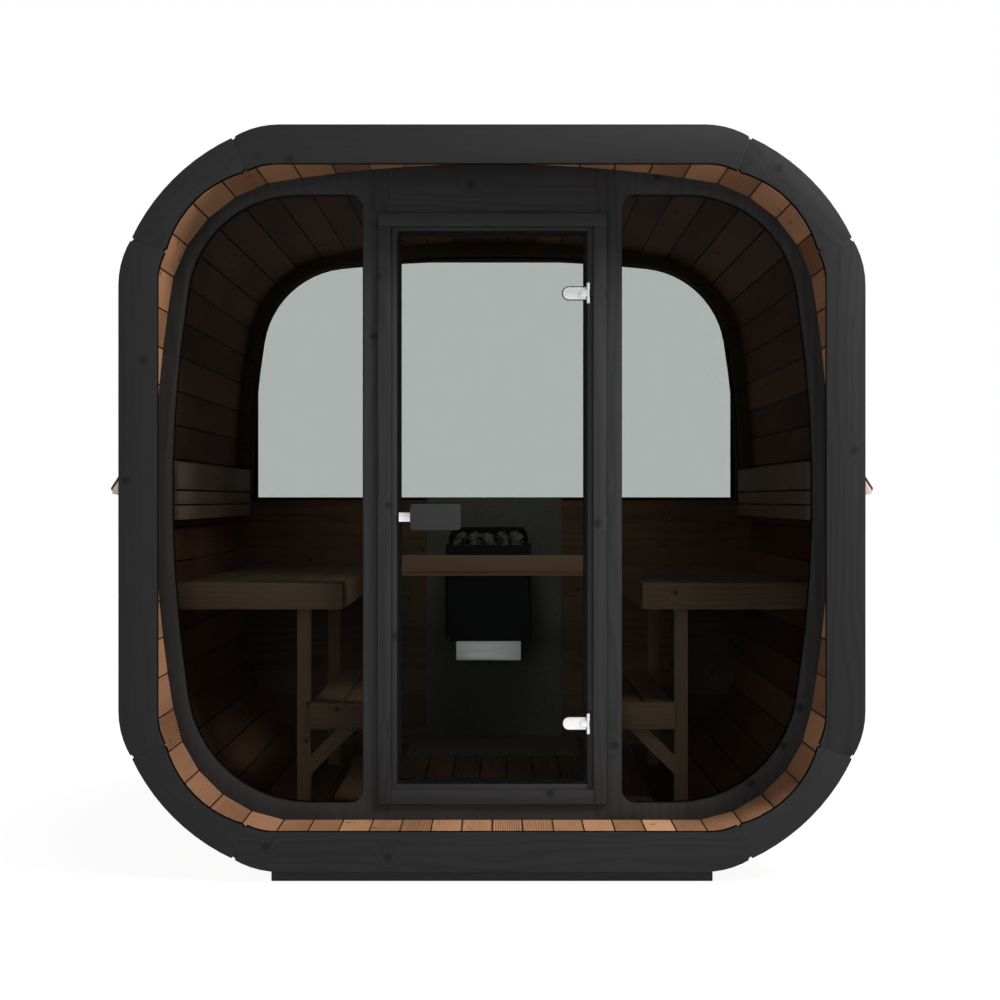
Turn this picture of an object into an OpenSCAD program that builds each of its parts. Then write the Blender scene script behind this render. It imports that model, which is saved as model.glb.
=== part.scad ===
// Outdoor sauna cabin: a stave-built shell with a rounded square section,
// arch boards on both ends, glazed end walls, a hinged glass door, benches
// on both sides and a wall-hung heater at the back.
// Front faces -Y, up is +Z, and the origin is under the middle of the cabin.

/* [Shell] */
// Overall depth of the cabin, over both arches
cabin_d = 2057; // [1700:1:2600]
// Inner width of the stave shell at its widest
inner_w = 2210; // [2120:1:2360]
// Thickness of the staves
stave_t = 40; // [30:1:50]
// Width of one side stave
side_stave_w = 118.4; // [112:0.1:124]
// Width of one upper corner stave
corner_stave_w = 113; // [106:0.5:120]
// Width of one lower corner stave
low_stave_w = 110; // [104:0.5:116]
// Angle that the side has turned from upright at its upper and lower ends
side_turn = 9; // [7:0.5:11]
// Size of the small V groove at each stave joint
groove = 4; // [0:0.5:8]
// Gap between the staves and the parts that are fitted against them
seat_gap = 0.2; // [0.1:0.05:0.5]

/* [Ends] */
// Distance from the cabin's front to the front wall
porch_d = 281; // [220:1:400]
// Distance from the rear wall to the cabin's back
rear_recess_d = 132; // [80:1:200]
// Thickness of both end walls
wall_t = 45; // [40:1:60]

/* [Arch boards] */
// How far the arch stands out past the staves at the sides
arch_proud = 12; // [8:1:20]
// How far the arch stands out past the staves at the crown
arch_crown = 24; // [14:1:30]
// Height of the bottom board's upper edge above the floor
arch_lip = 19; // [5:1:30]
// Thickness of the arch boards
arch_t = 20; // [15:1:28]
// Width of the side boards
arch_side_w = 121; // [110:1:140]
// Width of the top board
arch_top_w = 121; // [100:1:135]
// Width of the bottom board
arch_bottom_w = 124; // [100:1:130]
// Distance from the arch's corner to the joint's outer end, along the side
joint_out = 355; // [330:1:380]
// Depth of the joint's outer end below the arch's outer side
joint_drop = 40; // [30:1:50]
// Distance from the arch's corner to the joint's inner end, along the side
joint_in = 392; // [375:1:410]
// Depth of the joint's inner end below the arch's outer side
joint_depth = 146; // [142:1:160]
// Radius of the rounded ends of the straight boards
arch_end_r = 276; // [240:1:320]
// Radius of the corner boards' outer edge
arch_corner_r = 650; // [500:1:800]
// Radius of the corner boards' inner edge
arch_inner_r = 342; // [300:1:420]
// Radius of the straight boards' inner edge near its ends
arch_run_r = 200; // [120:1:300]
// Width of the small V cut at each end of a joint
notch_w = 16; // [8:1:24]

/* [Base] */
// How far each base beam's ends stand in from the floor's edges
beam_in = 0; // [0:1:80]
// Width of each base beam
beam_w = 70; // [45:1:100]
// Height of each base beam
beam_h = 99; // [80:1:140]
// Distance from the arch boards to the outer beams
beam_inset = 4; // [0:1:100]

/* [Front windows] */
// Width of the wall rim beside each front window
window_rim = 54; // [48:1:80]
// Distance from the shell's top to the window's top
window_drop = 98; // [85:1:140]
// Distance from the floor to the window's bottom
window_rise = 54; // [48:1:120]
// Radius of the window's upper outer corner
window_upper_r = 364; // [320:1:390]
// Radius of the window's lower outer corner
window_lower_r = 404; // [360:1:430]
// Radius of the window's corners beside the door
window_door_r = 46; // [30:1:60]
// Width of the wall between the door casing and each window
window_post = 48; // [40:1:70]
// Thickness of the window glass
pane_t = 8; // [5:0.5:10]
// How far the glass laps behind the wall's rebate
pane_lap = 12; // [8:1:20]
// Thickness of the wall in front of the glass
rebate_t = 8; // [6:1:24]

/* [Rear window] */
// Width of the wall rim beside the rear window
rear_rim = 63; // [58:1:110]
// Distance from the shell's top to the rear window's top
rear_drop = 68; // [62:1:100]
// Height of the rear window's sill above the floor
rear_sill_h = 1056; // [950:1:1200]
// Radius of the rear window's upper corners
rear_corner_r = 380; // [330:1:400]
// Width of the natural wood trim inside the rear window wall
trim_w = 54; // [40:1:60]
// Thickness of that trim
trim_t = 18; // [12:1:24]

/* [Door] */
// Width of the door glass
door_w = 612; // [560:1:640]
// Height of the door glass
door_h = 1800; // [1600:1:1830]
// Thickness of the door glass
door_t = 8; // [6:0.5:10]
// Height of the glass's lower edge above the floor
door_rise = 123; // [110:1:160]
// Gap round the door glass
door_gap = 6; // [5.5:0.5:9]
// Visible width of the jamb beside the glass
jamb_w = 28; // [24:1:45]
// Thickness of the head over the door
head_h = 25; // [20:1:40]
// Height of the threshold under the glass
threshold_h = 30; // [26:1:50]
// Width of the stop beside the jamb
stop_w = 13; // [11:1:20]
// Distance from the glass's back to the stop
stop_gap = 6; // [5.5:0.5:9]
// Width of the casing boards round the doorway
casing_w = 44; // [34:1:55]
// Height of the bottom casing board
casing_bottom_w = 46; // [36:1:60]
// How far the side casings cover the jambs
side_cover = 10; // [4:1:14]
// How far the top and bottom casings cover the frame
rail_cover = 14; // [6:1:18]
// Thickness of the casing boards
casing_t = 15; // [10:1:20]

/* [Door fittings] */
// Length of the wooden handle block
handle_l = 165; // [120:1:200]
// Height of the wooden handle block
handle_h = 86; // [60:1:110]
// Thickness of each handle block
handle_t = 26; // [18:1:34]
// Radius of the handle block's corners
handle_r = 10; // [4:1:20]
// Height of the handle's middle above the floor
handle_z = 991; // [850:1:1100]
// Length of the latch plate
latch_l = 38; // [25:1:45]
// Height of the latch plate
latch_h = 30; // [20:1:40]
// Thickness of the latch plate
latch_t = 8; // [5:0.5:12]
// Length of the hinge clamps on the glass
clamp_l = 75; // [55:1:90]
// Height of the hinge clamps
clamp_h = 40; // [30:1:50]
// Thickness of each clamp cheek
clamp_t = 4; // [3:0.5:6]
// Height of the hinge knuckles, top and bottom together
knuckle_h = 66; // [56:1:80]
// Diameter of the hinge knuckles
knuckle_d = 9.5; // [9:0.5:14]
// Diameter of the hinge pin
pin_d = 6; // [4:0.5:7]
// Running clearance in the hinges
run_gap = 0.3; // [0.2:0.05:0.5]
// Distance from the glass's top to the upper hinge
hinge_top = 200; // [140:1:300]
// Distance from the glass's bottom to the lower hinge
hinge_low = 193; // [140:1:300]
// Distance from the jamb's face to the pin's axis
pin_out = 11; // [10:0.5:14]
// Distance from the glass's edge to the pin's axis
pin_side = 6.5; // [5.5:0.5:12]
// Width of the hinge plate on the jamb
plate_l = 6; // [5:0.5:10]

/* [Roof] */
// Thickness of the roof covering
cover_t = 6; // [4:0.5:8]
// How far the drip battens stand out from the staves
batten_out = 35; // [24:1:45]
// Height of the drip battens against the staves
batten_h = 78; // [45:1:100]
// Height of the drip battens' lower edge above the floor
batten_z = 1053; // [980:1:1120]
// Width of the steel bands
band_w = 20; // [15:1:30]
// Thickness of the steel bands
band_t = 1.5; // [1:0.5:2]
// Distance from the cabin's ends to the steel bands
band_inset = 190; // [150:1:300]

/* [Benches] */
// Height of the upper bench above the floor
upper_z = 770; // [700:1:830]
// Distance from the middle to the upper bench's edge
upper_x = 500; // [470:1:560]
// Height of the lower bench above the floor
lower_z = 370; // [320:1:430]
// Distance from the middle to the lower bench's edge
lower_x = 385; // [370:1:440]
// Length of the lower bench
lower_l = 1045; // [900:1:1150]
// Distance from the front wall to the benches
bench_gap = 54; // [40:1:90]
// Height of the bench edge boards
edge_h = 88; // [75:1:100]
// Thickness of bench boards and slats
board_t = 22; // [18:1:28]
// Width of one bench slat
slat_w = 95; // [80:1:110]
// Gap between bench slats
slat_gap = 10; // [6:1:16]
// Size of the square posts and bearers
post_w = 45; // [40:1:55]
// Distance from the middle to the posts' middle
post_x = 632; // [600:1:680]
// Height on the post where the brace starts
brace_z = 127; // [100:1:160]

/* [Backrests] */
// Height of the backrest's top slat
rest_top_h = 92; // [80:1:120]
// Height of the backrest's middle slat
rest_mid_h = 44; // [35:1:70]
// Height of the backrest's lowest slat
rest_low_h = 47; // [35:1:70]
// Gap under the backrest's top slat
rest_seam = 6; // [2:0.5:20]
// Gap under the backrest's middle slat
rest_gap = 5; // [3:1:20]
// Height of the backrest's top above the floor
rest_z = 1175; // [1100:1:1240]
// Distance from the shell's widest to the backrest's face
rest_in = 65; // [60:1:115]
// Distance from the backrest's ends to the end walls
rest_end_gap = 28; // [24:1:140]

/* [Floor] */
// Height of the duckboards above the floor
duck_h = 39; // [30:1:50]
// Width of one duckboard
duck_w = 90; // [70:1:110]
// Gap between duckboards
duck_gap = 9; // [6:1:14]
// Number of duckboards
duck_count = 11; // [5:1:11]
// Width of the fireproof plate before the heater
plate_w = 700; // [600:1:900]
// Depth of the fireproof plate
plate_d = 520; // [420:1:620]
// Gap at both ends of the duckboards
duck_end_gap = 10; // [5:1:20]

/* [Heater] */
// Width of the heater
heater_w = 350; // [300:1:420]
// Depth of the heater
heater_d = 270; // [220:1:300]
// Height of the heater's black body
heater_h = 352; // [300:1:420]
// Height of the heater's rim above the floor
heater_rim_z = 863; // [800:1:900]
// Sideways place of the heater
heater_x = -22; // [-40:1:40]
// Gap between the heater and the wall panel
heater_gap = 30; // [20:1:45]
// Thickness of the heater's sheet
heater_sheet = 3; // [2:0.5:5]
// Height of the heater's rim
rim_h = 41; // [30:1:50]
// Depth of the well that holds the stones
well_d = 90; // [70:1:120]
// Width of the fins at the heater's sides
fin_w = 14; // [10:1:20]
// Height of the guard sheets beside the stones
guard_h = 38; // [25:1:50]
// Height of the back sheet behind the stones
back_h = 69; // [50:1:90]
// Radius of the back sheet's corners
back_r = 30; // [15:1:45]
// Height of the heap of stones above the rim
heap_h = 52; // [35:1:60]
// Length of the steel box under the heater
box_l = 265; // [220:1:290]
// Depth of that box
box_d = 244; // [180:1:250]
// Height of that box
box_h = 78; // [60:1:90]
// Width of the panel on the rear wall
panel_w = 580; // [500:1:700]
// Thickness of the panel
panel_t = 10; // [6:1:14]
// Height of the guard rail board
rail_h = 68; // [55:1:80]
// Thickness of the guard rail board
rail_t = 28; // [20:1:36]
// Height of the batten under the guard rail
rail_batten_h = 16; // [12:1:24]
// Height of the guard rail's top above the floor
rail_z = 823; // [800:1:835]
// Distance from the heater's front to the guard rail
rail_gap = 14; // [8:1:30]

/* [Hidden] */
$fn = 48;
stained = "#2b2b2c";
natural = "#b98b62";
pale = "#d9b48a";
tint = [0.35, 0.38, 0.38, 0.45];
steel = "#c9ccce";

// How far a cutting shape passes the face that it cuts
over = 1;
// Pieces in which the longer and the shorter arcs are drawn
long_arc = 10;
short_arc = 5;

// Numbers of staves and the angles that they turn through
side_count = 12;
top_half_count = 6;
corner_count = 4;
low_count = 5;
floor_count = 14;
corner_step = (90 - 2 * side_turn) / (corner_count + 1);
low_step = 90 / (low_count + 1);

// Angle of each stave's face, walked from the crown down to the floor, and
// measured clockwise from level
top_angles = [for (i = [1 : top_half_count]) side_turn * i / top_half_count];
corner_angles = [for (i = [1 : corner_count]) side_turn + corner_step * i];
side_angles = [for (i = [0 : side_count - 1])
    90 - side_turn + 2 * side_turn * i / (side_count - 1)];
low_angles = [for (i = [1 : low_count]) 90 + low_step * i];
walk_angles = concat([0], top_angles, corner_angles, side_angles, low_angles, [180]);

// Running sums of cosines and sines, used to close the section
function sum(v, i = 0) = i < len(v) ? v[i] + sum(v, i + 1) : 0;
function cosines(v) = sum([for (a = v) cos(a)]);
function sines(v) = sum([for (a = v) sin(a)]);
upper_side = [for (a = side_angles) if (a < 90) a];
lower_side = [for (a = side_angles) if (a > 90) a];
half_w = inner_w / 2;
top_stave_w = (half_w - corner_stave_w * cosines(corner_angles)
    - side_stave_w * cosines(upper_side)) / (0.5 + cosines(top_angles));
floor_half = half_w + side_stave_w * cosines(lower_side)
    + low_stave_w * cosines(low_angles);
floor_stave_w = 2 * floor_half / floor_count;
walk_widths = concat([top_stave_w / 2], [for (a = top_angles) top_stave_w],
    [for (a = corner_angles) corner_stave_w], [for (a = side_angles) side_stave_w],
    [for (a = low_angles) low_stave_w]);
drop = top_stave_w * sines(top_angles) + corner_stave_w * sines(corner_angles)
    + side_stave_w * sines(side_angles) + low_stave_w * sines(low_angles);

// Heights and depths of the shell
floor_z = beam_h + stave_t;
crown_z = floor_z + drop;
widest_z = crown_z - top_stave_w * sines(top_angles)
    - corner_stave_w * sines(corner_angles) - side_stave_w * sines(upper_side);
arch_top = crown_z + stave_t + arch_crown;
arch_low = floor_z + arch_lip - arch_bottom_w;
arch_cz = (arch_top + arch_low) / 2;
arch_hh = (arch_top - arch_low) / 2;
arch_hw = half_w + stave_t + arch_proud;
front_y = -cabin_d / 2;
back_y = cabin_d / 2;
wall_y = front_y + porch_d;
room_y0 = wall_y + wall_t;
rear_y = back_y - rear_recess_d;
room_y1 = rear_y - wall_t;

// Corner points of the shell's inner face, right half, crown first
function heading(i) = [cos(walk_angles[i]), -sin(walk_angles[i])];
function walk(i) = i == 0 ? [0, crown_z] : walk(i - 1) + walk_widths[i - 1] * heading(i - 1);
joints = [for (i = [1 : len(walk_widths)]) walk(i)];
function turn_at(i) = walk_angles[i + 1] - walk_angles[i];
function mid_angle(i) = (walk_angles[i + 1] + walk_angles[i]) / 2;
function outward(i) = [sin(mid_angle(i)), cos(mid_angle(i))];
// Joint i moved out of the inner face by d
function joint(i, d) = joints[i] + d / cos(turn_at(i) / 2) * outward(i);
first_corner = top_half_count;
first_side = first_corner + corner_count;
first_low = first_side + side_count;
last_joint = first_low + low_count;

function flip(v) = [for (p = v) [-p[0], p[1]]];
function backward(v) = [for (i = [len(v) - 1 : -1 : 0]) v[i]];
// The whole section at a distance d out of the inner face
function section(d) = let (half = [for (i = [0 : last_joint]) joint(i, d)])
    concat(half, backward(flip(half)));
// A small V at joint i of the face at distance d, cut into the wood
function vee(i, d, into) = [joint(i, d) - groove / 2 * heading(i),
    joint(i, d) + into * groove / 2 * outward(i), joint(i, d) + groove / 2 * heading(i + 1)];
// Face of the staves between joints a and b, with half a V at each end
function face(a, b, d, into) = [for (i = [a : b], k = [0 : 2])
    if (!(i == a && k == 0) && !(i == b && k == 2)) vee(i, d, into)[k]];
// Outline of the staves between joints a and b
function staves(a, b) = concat(face(a, b, stave_t, -1), backward(face(a, b, 0, 1)));

function arc(c, r, a, b, n) = [for (i = [0 : n])
    c + r * [cos(a + (b - a) * i / n), sin(a + (b - a) * i / n)]];

// Draws a section in X and Z as a prism from y0 to y1
module prism(y0, y1) {
    translate([0, y1, 0])
        rotate([90, 0, 0])
            linear_extrude(height = y1 - y0)
                children();
}

module both_sides() {
    children();
    mirror([1, 0, 0])
        children();
}

module block(a, b) {
    translate(a)
        cube(b - a);
}

module shell_run(points) {
    prism(front_y + arch_t, back_y - arch_t)
        polygon(points);
}

// Section of the room, and the section round the staves
module room() {
    polygon(section(-seat_gap));
}

module shell_outside() {
    polygon(section(stave_t + seat_gap));
}

/* Shell and base */
module base_beams() {
    beam_ys = [front_y + arch_t + beam_inset, -beam_w / 2, back_y - arch_t - beam_inset - beam_w];
    beam_hw = joint(last_joint, stave_t)[0] - beam_in;
    color(stained)
        for (y = beam_ys)
            block([-beam_hw, y, 0], [beam_hw, y + beam_w, beam_h]);
}

module floor_staves() {
    right = [for (i = [0 : floor_count]) floor_half - i * floor_stave_w];
    function floor_vee(x, z, into) = [[x + groove / 2, z], [x, z + into * groove / 2],
        [x - groove / 2, z]];
    top_face = [for (i = [1 : floor_count - 1], p = floor_vee(right[i], floor_z, -1)) p];
    low_face = [for (i = [1 : floor_count - 1], p = floor_vee(right[i], floor_z - stave_t, 1)) p];
    ends = [joint(last_joint, 0), joint(last_joint, stave_t)];
    color(natural)
        shell_run(concat([ends[0]], top_face, flip(ends), backward(low_face), [ends[1]]));
}

module right_staves() {
    color(natural)
        shell_run(staves(first_side, first_low));
}

module left_staves() {
    color(natural)
        shell_run(flip(staves(first_side, first_low)));
}

module roof_staves() {
    outer = face(0, first_corner, stave_t, -1);
    inner = face(0, first_corner, 0, 1);
    color(natural)
        shell_run(concat(backward(flip(outer)), outer, backward(inner), flip(inner)));
}

module corner_staves() {
    color(natural)
        both_sides() {
            shell_run(staves(first_corner, first_side));
            shell_run(staves(first_low, last_joint));
        }
}

/* Arch boards */
// Turning of a board's rounded end, from its straight edge to the joint
outer_turn = acos(1 - joint_drop / arch_end_r);
function inner_turn(width) = acos(1 - (joint_depth - width) / arch_run_r);

// Right half of a straight board lying along the top: half_l is the arch's
// half size along the board, reach its half size across it
function board_half(half_l, reach, width) = let (
    outer_x = half_l - joint_out - arch_end_r * sin(outer_turn),
    inner_x = half_l - joint_in - arch_run_r * sin(inner_turn(width)))
    concat(arc([outer_x, reach - arch_end_r], arch_end_r, 90, 90 - outer_turn, short_arc),
        arc([inner_x, reach - width - arch_run_r], arch_run_r,
            90 - inner_turn(width), 90, short_arc));

function board(half_l, reach, width) = let (half = board_half(half_l, reach, width))
    concat(half, backward(flip(half)));

// Arc of radius r from a to b, bulging to the left of that direction
function bulge(a, b, r, n) = let (half = norm(b - a) / 2,
    out = [a[1] - b[1], b[0] - a[0]] / (2 * half),
    c = (a + b) / 2 - sqrt(r * r - half * half) * out,
    span = asin(half / r), start = atan2(out[1], out[0]))
    arc(c, r, start + span, start - span, n);

function corner_board() = let (
    outer_a = [arch_hw - joint_out, arch_hh - joint_drop],
    outer_b = [arch_hw - joint_drop, arch_hh - joint_out],
    inner_a = [arch_hw - joint_in, arch_hh - joint_depth],
    inner_b = [arch_hw - joint_depth, arch_hh - joint_in])
    concat(bulge(outer_a, outer_b, arch_corner_r, long_arc),
        backward(bulge(inner_a, inner_b, arch_inner_r, long_arc)));

module notches() {
    half = notch_w / 2;
    ends = [[joint_out, joint_drop], [joint_in, joint_depth],
        [joint_drop, joint_out], [joint_depth, joint_in]];
    for (sx = [-1, 1], sz = [-1, 1], e = ends)
        translate([sx * (arch_hw - e[0]), sz * (arch_hh - e[1])])
            polygon([[-half, 0], [0, half], [half, 0], [0, -half]]);
}

module arch_boards(y0) {
    side = board(arch_hh, arch_hw, arch_side_w);
    color(stained)
        prism(y0, y0 + arch_t)
            translate([0, arch_cz])
                difference() {
                    union() {
                        polygon(board(arch_hw, arch_hh, arch_top_w));
                        mirror([0, 1])
                            polygon(board(arch_hw, arch_hh, arch_bottom_w));
                        polygon([for (p = side) [p[1], p[0]]]);
                        polygon([for (p = side) [-p[1], p[0]]]);
                    }
                    notches();
                }
}

module arch_corners(y0) {
    color(stained)
        prism(y0, y0 + arch_t)
            translate([0, arch_cz])
                difference() {
                    for (sx = [-1, 1], sz = [-1, 1])
                        polygon([for (p = corner_board()) [sx * p[0], sz * p[1]]]);
                    notches();
                }
}

module front_arch_boards() {
    arch_boards(front_y);
}

module front_arch_corners() {
    arch_corners(front_y);
}

module rear_arch_boards() {
    arch_boards(back_y - arch_t);
}

module rear_arch_corners() {
    arch_corners(back_y - arch_t);
}

/* Door opening, from the glass outward */
glass_hw = door_w / 2;
jamb_x = glass_hw + door_gap;
frame_x = jamb_x + jamb_w;
casing_x = frame_x - side_cover;
glass_z0 = floor_z + door_rise;
glass_z1 = glass_z0 + door_h;
rail_z0 = glass_z0 - door_gap;
rail_z1 = glass_z1 + door_gap;
frame_z0 = rail_z0 - threshold_h;
frame_z1 = rail_z1 + head_h;
stop_y = wall_y + door_t + stop_gap;
casing_y = wall_y - casing_t;

/* Front windows */
pane_play = 2;
window_z1 = crown_z - window_drop;
window_z0 = floor_z + window_rise;
window_x0 = casing_x + casing_w + window_post;
window_x1 = half_w - window_rim;
corner_share = 1 - sin(side_turn);
window_side_r = ((window_z1 - window_z0) / 2
    - (window_upper_r + window_lower_r) / 2 * corner_share) / sin(side_turn);
window_mid_z = (window_z1 + window_z0) / 2
    - (window_upper_r - window_lower_r) / 2 * corner_share;

// Outline of the right-hand front window, grown by e on every side
function window_outline(e) = let (
    side_r = window_side_r + e,
    upper_r = window_upper_r + e,
    lower_r = window_lower_r + e,
    door_r = window_door_r + e,
    side_c = [window_x1 - window_side_r, window_mid_z],
    upper_c = side_c + (side_r - upper_r) * [cos(side_turn), sin(side_turn)],
    lower_c = side_c + (side_r - lower_r) * [cos(side_turn), -sin(side_turn)],
    left_x = window_x0 + window_door_r)
    concat(arc([left_x, window_z0 + window_door_r], door_r, 180, 270, short_arc),
        arc(lower_c, lower_r, -90, -side_turn, long_arc),
        arc(side_c, side_r, -side_turn * 2 / 3, side_turn * 2 / 3, short_arc),
        arc(upper_c, upper_r, side_turn, 90, long_arc),
        arc([left_x, window_z1 - window_door_r], door_r, 90, 180, short_arc));

/* Rear window, upper half of the rear wall */
sill_z = floor_z + rear_sill_h;
rear_x1 = half_w - rear_rim;
rear_z1 = crown_z - rear_drop;
top_turn = side_turn * 2 / 3;
// Angle left out where the corner's arc meets its neighbours
arc_skip = 7;
// Radii of the side and top curves that join the corners without a kink
fit_a = [1 - cos(side_turn), sin(top_turn)];
fit_b = [sin(side_turn), 1 - cos(top_turn)];
fit_x = rear_x1 - rear_corner_r * (cos(side_turn) - sin(top_turn));
fit_z = rear_z1 - widest_z - rear_corner_r * (cos(top_turn) - sin(side_turn));
fit_det = fit_a[0] * fit_b[1] - fit_a[1] * fit_b[0];
rear_side_r = (fit_x * fit_b[1] - fit_a[1] * fit_z) / fit_det;
rear_top_r = (fit_a[0] * fit_z - fit_x * fit_b[0]) / fit_det;

function rear_outline(e) = let (
    side_c = [rear_x1 - rear_side_r, widest_z],
    corner_c = side_c + (rear_side_r - rear_corner_r) * [cos(side_turn), sin(side_turn)],
    top_c = [0, rear_z1 - rear_top_r],
    foot = asin((sill_z - e - widest_z) / (rear_side_r + e)),
    half = concat(arc(side_c, rear_side_r + e, foot, side_turn, short_arc),
        arc(corner_c, rear_corner_r + e, side_turn + arc_skip, 90 - arc_skip - top_turn,
            long_arc),
        arc(top_c, rear_top_r + e, 90 - top_turn, 90, short_arc)))
    concat(half, backward(flip(half)));

/* End walls */
module front_wall_side() {
    color(stained)
        difference() {
            prism(wall_y, room_y0)
                intersection() {
                    room();
                    translate([frame_x, floor_z])
                        square([half_w, crown_z - floor_z]);
                }
            prism(wall_y - over, wall_y + rebate_t)
                polygon(window_outline(0));
            prism(wall_y + rebate_t, room_y0 + over)
                polygon(window_outline(pane_lap));
        }
}

module front_wall_right() {
    front_wall_side();
}

module front_wall_left() {
    mirror([1, 0, 0])
        front_wall_side();
}

module front_wall_piece(z0, z1) {
    color(stained)
        prism(wall_y, room_y0)
            intersection() {
                room();
                translate([-frame_x, z0])
                    square([2 * frame_x, z1 - z0]);
            }
}

module front_wall_header() {
    front_wall_piece(frame_z1, crown_z);
}

module front_wall_sill() {
    front_wall_piece(floor_z, frame_z0);
}

module front_window_glass() {
    color(tint)
        both_sides()
            prism(wall_y + rebate_t, wall_y + rebate_t + pane_t)
                polygon(window_outline(pane_lap - pane_play));
}

module window_beads() {
    color(stained) {
        both_sides()
            prism(wall_y + rebate_t + pane_t, room_y0)
                difference() {
                    polygon(window_outline(pane_lap));
                    polygon(window_outline(0));
                }
        prism(room_y1, rear_y - rebate_t - pane_t)
            difference() {
                polygon(rear_outline(pane_lap));
                polygon(rear_outline(0));
            }
    }
}

module rear_wall_lower() {
    color(natural)
        difference() {
            prism(room_y1, rear_y)
                intersection() {
                    room();
                    translate([-half_w, floor_z])
                        square([2 * half_w, sill_z - floor_z]);
                }
            prism(room_y1 - over, rear_y - rebate_t)
                polygon(rear_outline(pane_lap));
        }
}

module rear_wall_rim() {
    color(stained)
        difference() {
            prism(room_y1, rear_y)
                intersection() {
                    room();
                    translate([-half_w, sill_z])
                        square([2 * half_w, crown_z - sill_z]);
                }
            prism(room_y1 - over, rear_y - rebate_t)
                polygon(rear_outline(pane_lap));
            prism(rear_y - rebate_t - over, rear_y + over)
                polygon(rear_outline(0));
        }
}

module rear_window_glass() {
    color(tint)
        prism(rear_y - rebate_t - pane_t, rear_y - rebate_t)
            polygon(rear_outline(pane_lap - pane_play));
}

module rear_inner_trim() {
    color(natural)
        prism(room_y1 - trim_t, room_y1)
            intersection() {
                difference() {
                    room();
                    polygon(section(-trim_w));
                }
                translate([-half_w, sill_z])
                    square([2 * half_w, crown_z - sill_z]);
            }
}

/* Door frame */
module upright(points, z0, z1) {
    translate([0, 0, z0])
        linear_extrude(height = z1 - z0)
            polygon(points);
}

module door_jambs() {
    color(stained)
        both_sides()
            upright([[jamb_x, wall_y], [frame_x, wall_y], [frame_x, room_y0],
                [jamb_x - stop_w, room_y0], [jamb_x - stop_w, stop_y],
                [jamb_x, stop_y]], frame_z0, frame_z1);
}

module door_rails() {
    stop_x = jamb_x - stop_w;
    color(stained) {
        block([-jamb_x, wall_y, rail_z1], [jamb_x, stop_y, frame_z1]);
        block([-stop_x, stop_y, rail_z1 - stop_w], [stop_x, room_y0, frame_z1]);
        block([-jamb_x, wall_y, frame_z0], [jamb_x, stop_y, rail_z0]);
        block([-stop_x, stop_y, frame_z0], [stop_x, room_y0, rail_z0 + stop_w]);
    }
}

casing_z1 = rail_z1 + head_h - rail_cover;

module door_casing_sides() {
    color(stained)
        both_sides()
            block([casing_x, casing_y, window_z0], [casing_x + casing_w, wall_y, casing_z1]);
}

module door_casing_rails() {
    outer_x = casing_x + casing_w;
    color(stained) {
        block([-outer_x, casing_y, casing_z1], [outer_x, wall_y, casing_z1 + casing_w]);
        block([-casing_x, casing_y, window_z0], [casing_x, wall_y, window_z0 + casing_bottom_w]);
    }
}

/* Door and its fittings */
pin_x = glass_hw + pin_side;
pin_y = wall_y - pin_out;
hinge_zs = [glass_z0 + hinge_low, glass_z1 - hinge_top];
middle_h = knuckle_h / 3;
arm_t = knuckle_d / 2;
spacer_l = 16;

module door_glass() {
    color(tint)
        block([-glass_hw, wall_y, glass_z0], [glass_hw, wall_y + door_t, glass_z1]);
}

module rounded_block(a, b, r) {
    size = b - a;
    points = concat(arc([size[0] - r, size[2] - r], r, 0, 90, short_arc),
        arc([r, size[2] - r], r, 90, 180, short_arc), arc([r, r], r, 180, 270, short_arc),
        arc([size[0] - r, r], r, 270, 360, short_arc));
    translate([a[0], b[1], a[2]])
        rotate([90, 0, 0])
            linear_extrude(height = size[1])
                polygon(points);
}

module door_handle() {
    x0 = -glass_hw + latch_l;
    z0 = floor_z + handle_z - handle_h / 2;
    back_y0 = wall_y + door_t;
    color(stained) {
        rounded_block([x0, wall_y - handle_t, z0], [x0 + handle_l, wall_y, z0 + handle_h],
            handle_r);
        rounded_block([x0, back_y0, z0], [x0 + handle_l, back_y0 + handle_t, z0 + handle_h],
            handle_r);
    }
}

module door_latch() {
    z0 = floor_z + handle_z - latch_h / 2;
    color(steel)
        block([-glass_hw, wall_y - latch_t, z0], [-glass_hw + latch_l, wall_y, z0 + latch_h]);
}

// One cheek of a clamp, with a round inner end and a square outer one
module cheek(x1, y0, z) {
    half = clamp_h / 2;
    rounded_block([glass_hw - clamp_l, y0, z - half], [x1, y0 + clamp_t, z + half], half - over);
    block([x1 - half, y0, z - half], [x1, y0 + clamp_t, z + half]);
}

module hinge_clamps() {
    color(steel)
        for (z = hinge_zs)
            difference() {
                union() {
                    cheek(glass_hw, wall_y - clamp_t, z);
                    cheek(jamb_x - stop_w - door_gap, wall_y + door_t, z);
                    block([glass_hw - spacer_l, pin_y - arm_t / 2, z - middle_h / 2 + run_gap],
                        [glass_hw, wall_y, z + middle_h / 2 - run_gap]);
                    block([glass_hw - spacer_l, pin_y - arm_t / 2, z - middle_h / 2 + run_gap],
                        [pin_x, pin_y + arm_t / 2, z + middle_h / 2 - run_gap]);
                    translate([pin_x, pin_y, z - middle_h / 2 + run_gap])
                        cylinder(d = knuckle_d, h = middle_h - 2 * run_gap);
                }
                translate([pin_x, pin_y, z - knuckle_h / 2])
                    cylinder(d = pin_d + 2 * run_gap, h = knuckle_h);
            }
}

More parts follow.
